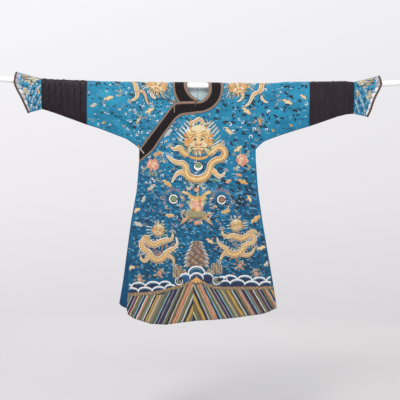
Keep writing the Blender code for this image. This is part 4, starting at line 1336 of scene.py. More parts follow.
def centralDragon():
    hairs(spread((-50, -318, -122, -262), (-30, -244, -70, -200), 8),
          ("white", "greyGreen", "white", "paleGreen"), 8.5, 0)
    hairs(spread((72, -318, 132, -250), (46, -244, 92, -198), 8),
          ("white", "greyGreen", "white", "paleGreen"), 8.5, 0)
    hairs(spread((76, -350, 132, -318), (80, -326, 136, -280), 4), ("paleGreen", "white", "green"), 8.0, 0)
    hairs(spread((-62, -346, -112, -322), (-62, -322, -118, -286), 4),
          ("green", "white", "paleGreen"), 8.0, 0)
    scaled([(-44, -232), (-32, -214), (-14, -207), (8, -192), (26, -204), (42, -228)],
           [10, 15, 17, 18, 17, 10])
    # the coiled body, from the right shoulder under the pearl to the tail at the left
    scaled([(84, -392), (104, -362), (130, -352), (152, -366), (158, -392), (140, -416),
            (106, -426), (80, -450), (70, -486), (46, -520), (4, -534), (-42, -522), (-60, -494), (-62, -464),
            (-84, -444), (-114, -440), (-146, -424), (-172, -400)],
           [20, 27, 31, 33, 34, 33, 33, 34, 38, 43, 44, 42, 38, 33, 29, 24, 17, 5], mark="goldDark")
    # the pale belly line on the inside of the coil
    stitch([(66, -448), (56, -480), (36, -504), (4, -514), (-28, -506), (-44, -486), (-48, -462),
            (-60, -442)], 5, "white", 4)
    stitch([(58, -452), (49, -478), (32, -497), (4, -507), (-22, -500), (-38, -482), (-41, -460)], 4,
           "midBlue", 2)
    hairs(spread((-150, -424, -180, -378), (-120, -438, -150, -388), 5), ("white", "lightBlue"), 5.0, 1)
    scaled([(-50, -404), (-76, -382), (-100, -358), (-128, -364), (-150, -352)], [32, 36, 28, 17, 7])
    claw(-152, -350, 120, 24)
    scaled([(64, -396), (82, -376), (104, -354), (136, -330)], [38, 36, 24, 9])
    claw(140, -328, 40, 24)
    scaled([(-58, -506), (-86, -496), (-108, -502), (-126, -524), (-142, -556)], [26, 28, 20, 11, 3])
    hairs(((-74, -486, -112, -478), (-84, -482, -118, -492), (-66, -480, -96, -462)),
          ("green", "greyGreen"), 7, 0)
    scaled([(74, -482), (98, -490), (120, -512), (146, -510), (162, -486)], [28, 26, 20, 12, 4])
    claw(164, -484, 70, 18)
    hairs(((84, -532, 124, -548), (94, -528, 140, -540), (78, -538, 108, -556), (108, -520, 146, -530)),
          ("green", "paleGreen"), 7, 0)
    # beard and the gold crescent under the chin
    stitch([(-54, -398), (-30, -410), (8, -416), (46, -410), (72, -394)], 20, "gold", 2)
    stitch([(-50, -396), (-26, -404), (8, -408), (42, -404), (66, -392)], 6, "goldDark", 3)
    hairs(spread((-46, -360, -66, -398), (66, -360, 84, -392), 9), ("greyGreen", "cream", "green"), 10.0, 1)
    dragonHead(8, -304, 138)
    pearl(8, -462, 25)
    flames(8, -455, ((-38, 22, 140), (36, 14, 30), (-36, -24, 220), (30, -36, 320), (0, 36, 90)), 14)


def shoulderDragons():
    # a pair that climbs over the shoulders towards the neck
    for way, head, body, limb in (
            (-1, (-226, 2), [(-372, 34), (-356, 8), (-346, -26), (-340, -42)],
             [(-346, -36), (-342, -62), (-354, -80), (-380, -92)]),
            (1, (228, 0), [(378, 34), (366, 12), (360, -18), (342, -44)],
             [(342, -36), (320, -48), (304, -78), (290, -102), (268, -118)])):
        scaled(body, [22, 24, 24, 20])
        scaled(limb, [20, 17, 12, 9, 4][:len(limb)])
        dragonHead(*head, 90, way * 14)
        hairs(spread((way * 172, 18, way * 140, -30), (way * 206, -34, way * 166, -88), 10),
              ("white", "navy", "lightBlue", "teal", "cream", "navy", "greyGreen"), 6.5, 1)
        hairs(spread((way * 160, 26, way * 141, 8), (way * 166, 6, way * 138, -22), 3),
              ("orange", "navy", "white"), 6.0, 1)
        hairs(spread((way * 262, -20, way * 290, -40), (way * 268, 4, way * 302, -8), 4),
              ("coral", "cream", "greyGreen"), 5.0, 0)
        hairs(spread((way * 268, 30, way * 330, 18), (way * 262, 10, way * 322, -30), 7),
              ("cream", "orange", "white", "green"), 7.0, 0)
        hairs(spread((way * 232, -40, way * 222, -74), (way * 190, -36, way * 170, -80), 5),
              ("cream", "greyGreen", "orange"), 6.0, 0)
    scaled([(-336, -38), (-310, -40), (-296, -62), (-286, -98), (-270, -116)], [18, 16, 13, 9, 3],
           edge="lilac")
    claw(-382, -94, 200, 20)
    scaled([(-256, -34), (-262, -54), (-246, -72), (-232, -76)], [15, 13, 10, 4])
    for i in range(9):
        stitch([(-246 + i * 10, -66 - i % 3 * 5), (-238 + i * 10, -78 - i % 2 * 4),
                (-226 + i * 9, -92 + i % 3 * 4)], 6,
               ("navy", "teal", "darkNavy")[i % 3], 1)
    scaled([(356, -52), (374, -82), (402, -96)], [14, 9, 3])
    scaled([(250, -28), (258, -56), (246, -78), (222, -92)], [15, 13, 9, 3])
    claw(266, -118, 230, 20)
    for x, z, turn in ((-455, 2, 20), (-430, -32, 60), (-445, -60, 100), (455, -50, 80), (462, -78, 40),
                       (448, -100, 120)):
        curl(x, z, 17, turn, "cream", 1, 4)


def lowerDragon(head, body, limbs, claws, manes, swirl):
    # a dragon that rises out of the waves, its body thrown into two loops
    for lines, colours in manes:
        hairs(spread(*lines), colours, 6.5, 0)
    for x, z in swirl:
        curl(x, z, 16, x, "pink", 1, 5)
        curl(x + 16, z - 6, 13, x + 90, "greyGreen", 1, 4)
    scaled(*body)
    spines(*body, 21.0, ("cream", "orange", "white", "tan", "greyGreen", "coral"))
    for points, widths in limbs:
        scaled(points, widths, "orange", "cream", "goldDark", 2)
    dragonHead(*head)
    for x, z, turn in claws:
        claw(x, z, turn, 22)


lowerPair = (
    {"head": (-214, -824, 60, -14),
     "body": ([(-140, -878), (-170, -880), (-202, -892), (-236, -908), (-264, -896), (-284, -876),
               (-303, -888), (-308, -914), (-294, -936), (-270, -947), (-256, -967), (-238, -986),
               (-210, -993), (-186, -980), (-169, -956), (-145, -936), (-120, -922), (-106, -896),
               (-114, -860)],
              [10, 24, 28, 29, 27, 22, 24, 27, 26, 26, 29, 31, 32, 31, 28, 22, 14, 9, 3]),
     "limbs": (([(-166, -884), (-146, -880), (-133, -862), (-134, -838)], [18, 13, 8, 3]),
               ([(-258, -962), (-274, -984), (-288, -1000), (-308, -992), (-314, -974)], [24, 22, 14, 8, 3]),
               ([(-176, -968), (-146, -974), (-128, -988), (-124, -1012)], [24, 18, 10, 3]),
               ([(-262, -880), (-284, -862), (-300, -856)], [18, 12, 4])),
     "claws": ((-313, -970, 110), (-134, -836, 90), (-123, -1012, 260)),
     "manes": ((((-246, -806, -288, -800), (-240, -852, -282, -866), 8),
                ("white", "greyGreen", "lightBlue")),
               (((-224, -790, -236, -768), (-196, -790, -178, -766), 5), ("cream", "white")),
               (((-182, -812, -160, -808), (-184, -846, -158, -852), 4), ("green", "paleGreen"))),
     "swirl": ((-228, -944), (-206, -952), (-168, -914))},
    {"head": (228, -792, 60, 12),
     "body": ([(150, -842), (176, -858), (204, -852), (232, -860), (258, -868), (284, -856), (306, -842),
               (326, -852), (331, -872), (318, -890), (294, -896), (276, -908), (261, -932), (240, -952),
               (214, -960), (186, -947), (166, -922), (140, -906), (126, -888), (118, -860)],
              [8, 20, 27, 30, 30, 29, 27, 25, 25, 24, 24, 26, 29, 32, 33, 31, 25, 17, 10, 3]),
     "limbs": (([(178, -858), (160, -852), (148, -836), (150, -820)], [16, 11, 7, 3]),
               ([(292, -846), (312, -826), (332, -824), (348, -838)], [20, 14, 9, 3]),
               ([(190, -950), (164, -952), (148, -968), (138, -990)], [22, 17, 10, 3]),
               ([(252, -952), (286, -962), (316, -948), (334, -920)], [24, 20, 12, 4])),
     "claws": ((148, -818, 100), (349, -840, 320), (137, -990, 240), (336, -918, 60)),
     "manes": ((((256, -774, 296, -764), (256, -812, 300, -806), 7), ("greyGreen", "white", "paleGreen")),
               (((206, -756, 196, -734), (244, -756, 256, -736), 5), ("cream", "white")),
               (((196, -788, 170, -794), (200, -812, 172, -820), 4), ("white", "green"))),
     "swirl": ((214, -904), (236, -916), (196, -884))},
)


def centreEmblem():
    # a peony on a mound under a gold crescent, with scrolls all round and a pearl on each side
    for way in (-1, 1):
        arc(way * 42, -570, 17, 90 - way * 40, 90 + way * 290, 6, "white", 2)
        arc(way * 42, -570, 9, 90 - way * 60, 90 + way * 250, 5, "paleGreen", 2)
        arc(way * 66, -602, 14, 120 * way, 120 * way + 280, 5, "paleGreen", 1)
        for i in range(3):
            blob(way * (46 + i * 13), -618 + i * 5, 19, 18, ("gold", "cream", "goldLight")[i], 3)
            curl(way * (46 + i * 13), -618 + i * 5, 9, 60 * i, ("goldDark", "brown", "orange")[i], 4, 3)
        for i in range(5):
            turn = -10 - i * 20
            stitch([(way * 34, -656), polar(way * 34, -656, way * 16, turn, 16),
                    polar(way * 34, -656, way * 32, turn, 34)], 7, ("greyGreen", "paleGreen")[i % 2], 1)
        for i in range(6):
            stitch([(way * 44, -746 - i * 3), (way * 66, -756 - i * 4),
                    (way * (84 + i * 3), -768 - i * 6)], 6,
                   ("gold", "cream", "goldDark")[i % 3], 1)
    blob(0, -594, 30, 26, "coral", 3)
    blob(0, -600, 16, 12, "cream", 4)
    for i in range(9):
        turn = 180 + i * 22.5
        blob(*polar(4, -634, 40, turn, 20), 20, 16, ("cream", "gold")[i % 2], 2, turn)
    stitch([(-66, -606), (-44, -622), (-20, -636), (4, -642), (28, -636), (50, -622), (68, -606)],
           [4, 12, 17, 20, 17, 12, 4], "gold", 3)
    stitch([(-54, -610), (-28, -626), (4, -634), (34, -626), (58, -610)], 5, "goldLight", 5)
    peony(2, -680, 84, 12)
    for i in range(8):
        # the outer petals, each with its dark eye
        px, pz = polar(2, -680, 33, 12 + i * 45, 31)
        blob(px, pz, 23, 20, ("cream", "orange", "goldLight", "pink")[i % 4], 4, 102 + i * 45)
        blob(px, pz, 8, 7, ("goldDark", "red")[i % 2], 6)
    blob(0, -732, 120, 54, "tan", 1)
    blob(0, -731, 108, 46, "mound", 2)
    for i in range(9):
        stitch([(-48 + i * 12.2, -746), (-45 + i * 11.4, -731), (-42 + i * 10.6, -716)], 2.6,
               ("oliveGrey", "tan")[i % 2], 4)
    for i in range(26):
        turn, reach = i * 360 / 26 + 4 * (i % 3), 78 + 8 * (i % 2)
        stitch([polar(2, -676, reach * 0.86, turn, reach * 1.12), polar(-2, -676, reach, turn, reach * 1.30),
                polar(2, -676, reach * 1.18, turn, reach * 1.42)], 11,
               ("tan", "cream", "greyGreen", "rose", "cream")[i % 5], 1)
    for i, (x, z) in enumerate((
            (-86, -628), (-104, -676), (-92, -716), (-112, -752), (-158, -604), (-166, -694), (-132, -788),
            (-70, -800), (92, -622), (108, -690), (96, -728), (118, -764), (170, -606), (176, -692),
            (134, -790), (72, -804), (-196, -640), (204, -660), (-206, -716), (222, -712))):
        curl(x, z, 19, i * 67, ("tan", "cream", "lilac", "grey")[i % 4], 1, 6)
        stitch([(x + 9, z - 9), (x + 15, z - 15), (x + 23, z - 14)], 6, ("rose", "tan", "brown")[i % 3], 1,
               spacing=5)
    for way in (-1, 1):
        stitch([(way * 70, -722), (way * 58, -744), (way * 34, -760), (way * 6, -766)], 8, "gold", 3)
        stitch([(way * 74, -712), (way * 84, -732), (way * 74, -754), (way * 50, -770)], 6, "cream", 2)
    blob(4, -780, 34, 26, "coral", 3)
    blob(4, -784, 16, 12, "pink", 4)
    for x, core in ((-130, "green"), (143, "brown")):
        blob(x, -648, 66, 64, "navy", 0)
        arc(x, -648, 23, 0, 360, 9, "white", 5, "band")
        blob(x, -648, 34, 34, core, 2)
        curl(x, -648, 14, 60, "tan", 5, 4)
        flames(x, -650, ((-30, 30, 130), (-12, 42, 105), (12, 42, 75), (30, 30, 50), (-42, 6, 165),
                         (42, 6, 15), (-34, -26, 215), (34, -26, 325)), 28, ("tan", "rose", "lilac"))


def centralRock():
    # feathered layers of rock that stand in the waves
    for row in range(20):
        z = -888 - row * 7.4
        reach = 20 + 35 * smooth(row / 13) + 4 * math.sin(row * 2.1)
        for i in range(5):
            x = 4 + (i - 2) * reach / 2.4 + 5 * math.sin(row * 1.7 + i)
            stitch([(x - reach * 0.26, z - 2), (x, z + 3), (x + reach * 0.26, z - 3)], 8.0,
                   ("brown", "tan", "brown", "goldDark", "tan")[(row * 2 + i) % 5], 1)
        for way in (-1, 1):
            stitch([(4 + way * reach * 0.8, z), (4 + way * (reach + 4), z + 1),
                    (4 + way * (reach + 17), z - 5)], 5.6,
                   ("white", "cream", "grey")[row % 3], 2)
            if row % 2:
                stitch([(4 + way * reach * 0.9, z - 4), (4 + way * (reach + 8), z - 4),
                        (4 + way * (reach + 17), z - 8)], 3.6, "navy", 1)
    for x0, x1, z0, z1 in ((-126, -80, -1016, -1100), (90, 146, -1000, -1076), (-74, -56, -1040, -1076),
                           (66, 84, -1036, -1076)):
        count = max(2, round((x1 - x0) / 7))
        for i in range(count + 1):
            x = x0 + (x1 - x0) * i / count
            drop = 10 * abs(i / count - 0.5) * 2
            stitch([(x, z1), (x + 2 * math.sin(i * 2.4), (z0 + z1) / 2),
                    (x - 2, z0 - drop - 4 * (i % 2))], 8.5,
                   ("tan", "oliveGrey", "tan", "brown")[i % 4], 1)
            for k in range(6):
                level = z0 - drop - 6 - k * (z0 - z1) / 7
                stitch([(x - 6, level), (x, level + 3), (x + 6, level - 1)], 4.2,
                       ("brown", "cream", "tan", "cream", "navy")[(i * 3 + k * 2) % 5], 2, spacing=6)


def scallop(x, top, reach, tall, layer, ground="navy"):
    # one wave: a dark lens under thick pale rims
    z = top - tall
    blob(x, z, reach * 2.0, tall * 2.0, ground, layer)
    for share, width, colour in ((0.92, 9.5, "white"), (0.66, 4.0, "lightBlue"), (0.40, 3.0, "midBlue")):
        points = [polar(x, z, reach * share, -12 + 204 * i / 8, tall * share) for i in range(9)]
        stitch(points, width, colour, layer + 1, "band", 5)


waveRows = {
    "back": ((196, -1074, 40, 25), (278, -1076, 42, 25), (360, -1084, 42, 25), (440, -1080, 38, 25),
             (152, -1082, 30, 22), (-172, -1112, 36, 24), (-240, -1114, 42, 25), (-322, -1120, 42, 25),
             (-398, -1126, 38, 25), (-450, -1128, 30, 22)),
    "front": ((236, -1098, 42, 24), (318, -1106, 42, 24), (400, -1108, 42, 24), (470, -1104, 34, 24),
              (168, -1104, 32, 22), (-206, -1142, 40, 24), (-284, -1146, 42, 24), (-362, -1152, 42, 24),
              (-430, -1158, 34, 24), (-142, -1130, 30, 20)),
}


def waves():
    for layer, row in ((0, "back"), (2, "front")):
        for place in waveRows[row]:
            scallop(*place, layer)
    for place in ((5, -1024, 50, 44, 1, "teal"), (-58, -1066, 34, 30, 2, "midBlue"),
                  (64, -1062, 36, 30, 2), (5, -1062, 40, 34, 3)):
        scallop(*place)
    for x, z, way in ((-94, -1112, -1), (118, -1108, 1)):
        blob(x, z, 56, 52, "darkNavy", 5)
        for share, width, colour in ((1.0, 7.5, "white"), (0.50, 6.0, "grey")):
            arc(x, z, 21 * share, 40, 40 + way * 330, width, colour, 7, "band")
        blob(x, z, 10, 10, "green", 8)


hemPicture = {
    # where the pebbled line runs, and the stripes under it; they meet on a middle line as a chevron
    "line": ((-480, -1204), (-380, -1196), (-230, -1182), (-150, -1162), (-60, -1136), (5, -1100),
             (60, -1132), (130, -1152), (250, -1152), (480, -1148)),
    "middle": -12.0,
    "sides": (
        {"level": -1280, "first": -103, "way": -1, "stripes": (
            (13, "olive"), (6, "cream"), (12, "navy"), (14, "olive"), (6, "grey"), (10, "navy"),
            (11, "purple"), (5, "lilac"), (12, "darkNavy"), (7, "lightBlue"), (16, "olive"),
            (13, "oliveGrey"), (19, "tan"), (12, "mustard"), (9, "darkNavy"), (6, "white"), (14, "oliveGrey"),
            (13, "olive"), (9, "coral"), (6, "white"), (12, "navy"), (7, "lightBlue"), (20, "olive"),
            (6, "cream"), (13, "maroon"), (6, "lilac"), (13, "darkNavy"), (7, "grey"), (19, "oliveGrey"),
            (14, "coral"), (9, "navy"), (7, "white"), (19, "olive"), (12, "purple"), (9, "navy"),
            (6, "cream"), (20, "mustard"), (18, "olive"))},
        {"level": -1280, "first": -103, "way": -1, "inward": True, "stripes": (
            (22, "coral"), (6, "cream"), (20, "olive"), (12, "grey"), (12, "darkNavy"), (24, "mustard"),
            (10, "olive"))},
        {"level": -1300, "first": 114, "way": 1, "stripes": (
            (4, "cream"), (13, "navy"), (10, "lightBlue"), (18, "olive"), (6, "cream"), (7, "oliveGrey"),
            (14, "purple"), (6, "lilac"), (12, "darkNavy"), (7, "lightBlue"), (18, "olive"), (6, "cream"),
            (12, "oliveGrey"), (7, "brown"), (21, "mustard"), (12, "olive"), (7, "white"), (11, "navy"),
            (16, "olive"), (14, "coral"), (6, "grey"), (11, "maroon"), (9, "darkNavy"), (7, "lightBlue"),
            (19, "oliveGrey"), (11, "maroon"), (9, "darkNavy"), (7, "white"), (17, "olive"), (13, "purple"),
            (6, "lilac"), (10, "navy"), (18, "olive"), (13, "coral"), (7, "grey"), (11, "navy"),
            (17, "mustard"), (10, "darkNavy"), (7, "white"), (20, "olive"), (12, "maroon"), (7, "lilac"),
            (16, "olive"))},
        {"level": -1300, "first": 114, "way": 1, "inward": True, "stripes": (
            (22, "coral"), (5, "cream"), (15, "olive"), (10, "grey"), (13, "darkNavy"), (22, "mustard"),
            (5, "brown"), (22, "olive"), (10, "paleGreen"), (12, "darkNavy"))},
    ),
}


def lineHeight(x):
    return between(hemPicture["line"], x, 1)


def hemHeight(x):
    if canvas["face"] == back:
        x = -x
        return between(hemLine, abs(x) / 1000, 4 if x > 0 else 5) * 1000
    return between(hemLine, abs(x) / 1000, 1 if x > 0 else 2) * 1000


def sideReach(x, z):
    if canvas["face"] == back:
        return between(sideLine, z / 1000, 1 if x > 0 else 2) * 1000
    return between(overlapSide, z / 1000, 1) * 1000 if x < 0 else between(sideLine, z / 1000, 2) * 1000


def leanAt(way, x):
    # how far a stripe leans, more the farther out it stands
    if way > 0:
        return -(0.467 + 0.14 * smooth((x - 100) / 80))
    return 0.42 + 0.04 * smooth((-100 - x) / 80)


def stripeEdge(x, lean, level, top):
    # from the pebbled line or the middle line to the hem or to the side, whichever comes first
    z = -1090.0
    meet = level + (hemPicture["middle"] - x) / lean
    while z > -1400 and (z > meet or z > lineHeight(x + lean * (z - level))):
        z -= 1.5
    high = min(z + top, meet)
    while z > -1400:
        px = x + lean * (z - level)
        if z < hemHeight(px) + 0.7 or abs(px) > sideReach(px, z) - 1.0:
            break
        z -= 1.5
    return high, z + 0.75


def layStripe(way, level, x0, x1, colour):
    edges = [(x, leanAt(way, x)) + stripeEdge(x, leanAt(way, x), level, 4.0) for x in (x0, (x0 + x1) / 2, x1)]
    if any(high - low < 6 for x, lean, high, low in edges):
        return
    outer = canvas["face"] == front
    side = 1.0 if outer else -1.0
    mesh = threadMesh(side * (edges[1][0] + edges[1][1] * (edges[1][2] - level)) / 1000, colour)
    tint, start, steps = tinted(colour, 0.10), len(mesh["points"]), 22
    for k in range(steps + 1):
        for column, (x, lean, high, low) in enumerate(edges):
            z = high + (low - high) * k / steps
            px = x + lean * (z - level) + 0.8 * math.sin(z / 11 + x)
            lift = 0.00060 + (0.0004 if column == 1 else 0.0)
            mesh["points"].append(settle(side * px / 1000, z / 1000, lift, outer))
            mesh["colours"].append(tint)
            mesh["uvs"].append(((high - z) / 1000, x / 1000))
    faces = []
    for a in range(start, start + 3 * steps, 3):
        b = a + 3
        faces += [(a, b, b + 1, a + 1), (a + 1, b + 1, b + 2, a + 2), (a + 2, b + 2, b, a)]
    faces += [(start, start + 1, start + 2), (b + 2, b + 1, b)]
    mesh["faces"].extend(face[::-1] if x0 > x1 else face for face in faces)


def hemStripes():
    for part in hemPicture["sides"]:
        x, way = part["first"], part["way"] * (-1 if part.get("inward") else 1)
        for width, colour in part["stripes"]:
            layStripe(part["way"], part["level"], x, x + way * width, colour)
            x += way * width


def pebbledLine():
    for row, width, colour in ((5, 14.0, "brown"), (-4, 4.0, "oliveGrey")):
        stitch([(x, z + row) for x, z in hemPicture["line"]], width, colour, 4, "band", 8)
    for row in range(3):
        x = -474 + row * 3
        while x < 478:
            blob(x, lineHeight(x) + 10 - row * 5.6, 7.0, 5.0,
                 ("cream", "tan", "mound", "mustard", "brown")[int(x / 8.6 + row * 2) % 5], 6)
            x += 9.2
    for i in range(7):
        stitch([(5 + (i - 3) * 10, -1130 + abs(i - 3) * 2), (5 + (i - 3) * 6, -1106),
                (5 + (i - 3) * 2.4, -1080 - abs(i - 3) * 5)], 9,
               ("gold", "orange", "goldLight")[i % 3], 7)


def featherLeaf(x, z, size, turns):
    for turn in turns:
        tip = polar(x, z, size, turn)
        stitch([(x, z), ((x + tip[0]) / 2 + 2, (z + tip[1]) / 2 + 2), tip], size * 0.34, "gold", 1)
        stitch([(x, z), tip], size * 0.08, "cream", 3)


def scatter():
    peony(-248, -455, 78, 0)
    peony(258, -422, 78, 30)
    for x, z, turn in ((-205, -1068, 0), (-318, -1104, 40), (250, -1020, 10), (342, -1066, 60)):
        peony(x, z, 30, turn)
        for i in range(7):
            sprig(*polar(x, z, 26, turn + i * 51, 24), 22, turn + i * 51,
                  ("tan", "cream", "greyGreen")[i % 3],
                  "brown")
    clouds = (
        (-272, -148, 44, 32, "cream", "gold"), (-164, -273, 46, 48, "grey", "white"),
        (-222, -392, 40, 20, "orange", "goldLight"), (176, -257, 44, -48, "cream", "gold"),
        (233, -360, 44, 40, "cream", "gold"), (278, -144, 46, -34, "cream", "gold"),
        (-168, -560, 48, -34, "gold", "cream"), (-256, -584, 44, 40, "grey", "gold"),
        (262, -546, 46, -20, "gold", "goldLight"), (180, -545, 30, 30, "rose", "cream"),
        (240, -508, 30, -10, "rose", "gold"), (-345, -715, 44, 20, "cream", "gold"),
        (-330, -792, 42, -20, "grey", "cream"), (-150, -742, 40, 0, "gold", "cream"),
        (166, -716, 42, 20, "gold", "cream"), (338, -758, 52, 40, "gold", "cream"),
        (78, -884, 38, -30, "cream", "gold"), (372, -920, 44, 20, "cream", "gold"),
        (-505, -80, 44, 20, "cream", "gold"), (510, -90, 46, -20, "cream", "gold"),
        (-335, -205, 34, 60, "cream", "brown"), (355, -205, 34, 100, "gold", "brown"),
        (-372, -1040, 42, 10, "cream", "gold"), (-300, -650, 34, 70, "grey", "cream"),
        (300, -640, 36, -60, "cream", "gold"), (404, -1010, 34, 40, "grey", "cream"),
        (-590, -120, 32, 30, "grey", "cream"), (600, -60, 34, -30, "cream", "gold"),
    )
    for place in clouds:
        cloud(*place)
    for x, z, turns in ((-530, -226, (70, 110, 150)), (530, -230, (30, 70, 110)), (-418, -244, (60, 120)),
                        (430, -262, (60, 110))):
        featherLeaf(x, z, 22, turns)
    for x, z, size, turn in ((-330, -170, 34, 80), (348, -180, 36, 100), (-185, -420, 28, 40),
                             (-220, -535, 30, 20), (340, -240, 30, 60), (-446, -36, 28, 90),
                             (214, -470, 24, 0), (-300, -300, 24, 30)):
        curl(x, z, size * 0.7, turn, "cream", 1, 4.5)
        curl(x + size * 0.5, z - size * 0.6, size * 0.6, turn + 180, "gold", 1, 3.5)
    for x, z, turn in ((-268, -505, -60), (296, -470, -120), (-205, -490, 200), (212, -392, 160)):
        sprig(x, z, 34, turn, "greyGreen", "pink")


def groundMarks():
    # curls and dark marks fill what is left: paler on one side, darker and bolder on the other. The marks
    # themselves are embroidery; the paler side, where x is below 0, is painted highlight, and the darker,
    # bolder side is painted shade, as thread lit from the left
    for row in range(56):
        for column in range(54):
            x = -650 + column * 25.0 + random.uniform(-8, 8) + (row % 2) * 12
            z = 40 - row * 20.4 + random.uniform(-6, 6)
            pick, turn, size = random.random(), random.uniform(0, 360), random.uniform(12, 18)
            if x > 60 and z > -700:
                size *= 1.25
            if z < -1096 or (z > 30 and abs(x) < 150) or cellAt(x, z) in canvas["taken"]:
                continue
            if z > -560 and random.random() < (0.66 if abs(x) > 400 else 0.50 if x > 0 else 0.22):
                continue
            # painted highlight and shade: fewer dark marks where x is below 0, more and bolder ones above it
            darkShare = 0.30 if x < 0 else 0.66
            if z < -560:
                darkShare = 0.58
            if abs(x) > 400:
                darkShare = 0.40
            if pick < darkShare:
                dark, bold = ("navy", "darkNavy", "darkNavy")[int(pick * 40) % 3], 0.62 if x > 60 else 0.46
                c, s = polar(0, 0, size, turn, size * 0.8)
                stitch([(x - c * 0.8, z - s * 0.8), (x - c * 0.3 - s * 0.3, z - s * 0.3 + c * 0.3),
                        (x + c * 0.2, z + s * 0.2), (x + c * 0.8 - s * 0.4, z + s * 0.7)], size * bold, dark,
                        1, spacing=6)
                if pick < darkShare * 0.5:
                    stitch([(x + s * 0.7, z - c * 0.6), (x + c * 0.5, z + s * 0.1),
                            (x + c * 0.6 - s * 0.6, z + c * 0.6)], size * bold * 0.8, dark, 1, spacing=6)
                if pick < darkShare * 0.35:
                    stitch([(x - size * 0.5, z + size * 0.95), (x + size * 0.2, z + size * 0.9),
                            (x + size * 0.8, z + size * 0.6)],
                           size * 0.34, "lightBlue", 1, spacing=6)
            elif pick < darkShare + (0.24 if z < -700 else 0.52 if x < 0 else 0.26):
                pale = int(pick * 60) % 3 < (2 if x < 0 else 1)
                tone = "white" if pale and z > -560 else ("lightBlue", "tan", "skyBlue")[int(pick * 50) % 3]
                curl(x, z, size, turn, tone, 1, size * (0.36 if z > -560 else 0.28))
            else:
                stitch([(x - size * 0.8, z - size * 0.2), (x, z + size * 0.25),
                        (x + size * 0.8, z - size * 0.2)], size * 0.5,
                       ("midBlue", "teal", "skyBlue")[int(pick * 70) % 3], 0, spacing=8)


def fineMarks():
    # what is still free is crowded with short stitches, strongest in the lower half
    for row in range(112):
        for column in range(74):
            x = -632 + column * 17.3 + random.uniform(-6, 6)
            z = 36 - row * 10.2 + random.uniform(-4, 4)
            pick, size = random.random(), random.uniform(7, 12)
            # painted highlight: above the waist, pale stitches are denser where x is below 0 than above it,
            # as thread lit from the left
            if z < -1096 or pick > (0.92 if z < -520 else 0.18 if abs(x) > 400 else 0.55 if x < 0 else 0.22):
                continue
            if cellAt(x, z) in canvas["taken"]:
                continue
            tones = ("skyBlue", "navy", "darkNavy", "midBlue", "tan", "navy", "midBlue", "teal", "darkNavy",
                     "teal", "lightBlue", "navy", "teal",
                     "darkNavy", "darkNavy")
            if z > -520:
                tones = ("skyBlue", "lightBlue", "midBlue", "white", "navy", "skyBlue")
            lean = random.uniform(-0.6, 0.6) * size
            stitch([(x - size * 0.8, z - lean * 0.6), (x + lean * 0.2, z + size * 0.3),
                    (x + size * 0.8, z + lean * 0.6)], size * (0.62 if z > -520 else 0.70),
                   tones[int(pick * 977) % len(tones)], 0, spacing=9)


def cuffSpot(data, face):
    # a place on the cuff: millimetres out from its seam, and up its height
    rings = {}

    def place(x, z, lift):
        out = min(abs(x) * 1000 / cuffShape["reach"], 0.985)
        step = min(int(out * 24), 23)
        spots = []
        for k in (step, step + 1):
            if k not in rings:
                rings[k] = cuffRing(data, k / 24)
            ring = rings[k][:len(mouthShares)] if face == front else rings[k][len(mouthShares) - 1:-1][::-1]
            share = min(max(z * 1000 / cuffShape["height"], 0.0), 0.999)
            for i in range(len(mouthShares) - 1):
                if share <= mouthShares[i + 1]:
                    part = (share - mouthShares[i]) / (mouthShares[i + 1] - mouthShares[i])
                    spots.append(ring[i].lerp(ring[i + 1], part))
                    break
        spot = spots[0].lerp(spots[1], out * 24 - step)
        return spot + Vector((0.0, face * lift, 0.0))

    return place


# millimetres out from the seam, up the height, size and turn
cuffClouds = (
    (16, 180, 24, 4), (38, 184, 25, -8), (60, 183, 26, 10), (82, 180, 24, 20), (26, 163, 22, 30),
    (50, 165, 24, -20), (74, 163, 20, 10), (34, 146, 22, 50), (60, 146, 20, 10), (48, 128, 18, 30),
    (84, 98, 26, -50), (76, 84, 18, 20), (18, 92, 22, 80),
)


def cuffPicture(name, data):
    # clouds above, scrolls and short marks below, and a pale border, on both faces of the cuff
    for face in (front, back):
        canvas.update(face=face, place=cuffSpot(data, face), panel=name + "Cuff")
        way = data["side"] * (1 if face == front else -1)
        for i in range(7):
            # a pale border inside the braid, washed with lilac above
            stitch([(way * (99.5 + up * 0.052), up) for up in (5 + i * 26, 18 + i * 26, 33 + i * 26)], 14,
                   "lilac" if i > 4 else "white" if data["side"] == left or i % 2 else "grey", 3, "band", 6)
            if i > 1:
                stitch([(way * 93, 8 + i * 25), (way * (97 + i), 18 + i * 25), (way * 93, 32 + i * 25)], 7,
                       ("white", "lightBlue", "grey")[i % 3], 2)
        for i, (out, up, size, turn) in enumerate(cuffClouds):
            cloud(way * out, up, size * 1.2, way * turn, ("goldLight", "cream", "tan", "cream")[i % 4],
                  ("brown", "cream", "greyGreen")[i % 3])
        for i in range(150):
            out, up = 5 + 88 * (i * 0.618 % 1.0), 5 + 160 * (i * 0.7549 % 1.0)
            if i % 4 == 0:
                curl(way * out, up, 10, i * 50, ("white", "lightBlue", "white")[i // 4 % 3], 2, 4.0)
            else:
                lean = 5 * math.sin(i * 1.7)
                stitch([(way * out - 6, up - lean), (way * out, up + 2), (way * out + 6, up + lean)], 6.0,
                       ("navy", "lightBlue", "darkNavy", "skyBlue",
                        "white" if data["side"] == right else "midBlue")[i % 5], 2, spacing=5)
    canvas.update(face=front, place=None, panel="")


def makeEmbroidery(name, data, finish):
    mesh = bpy.data.meshes.new(name)
    mesh.from_pydata([tuple(p) for p in data["points"]], [], data["faces"])
    colours = mesh.color_attributes.new("thread", "FLOAT_COLOR", "POINT")
    for i, tint in enumerate(data["colours"]):
        colours.data[i].color = tint
    layer = mesh.uv_layers.new(name="UVMap")
    for loop in mesh.loops:
        layer.data[loop.index].uv = data["uvs"][loop.vertex_index]
    mesh.materials.append(finish)
    mesh.polygons.foreach_set("use_smooth", [True] * len(mesh.polygons))
    piece = bpy.data.objects.new(name, mesh)
    bpy.context.scene.collection.objects.link(piece)
    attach(piece, "root")


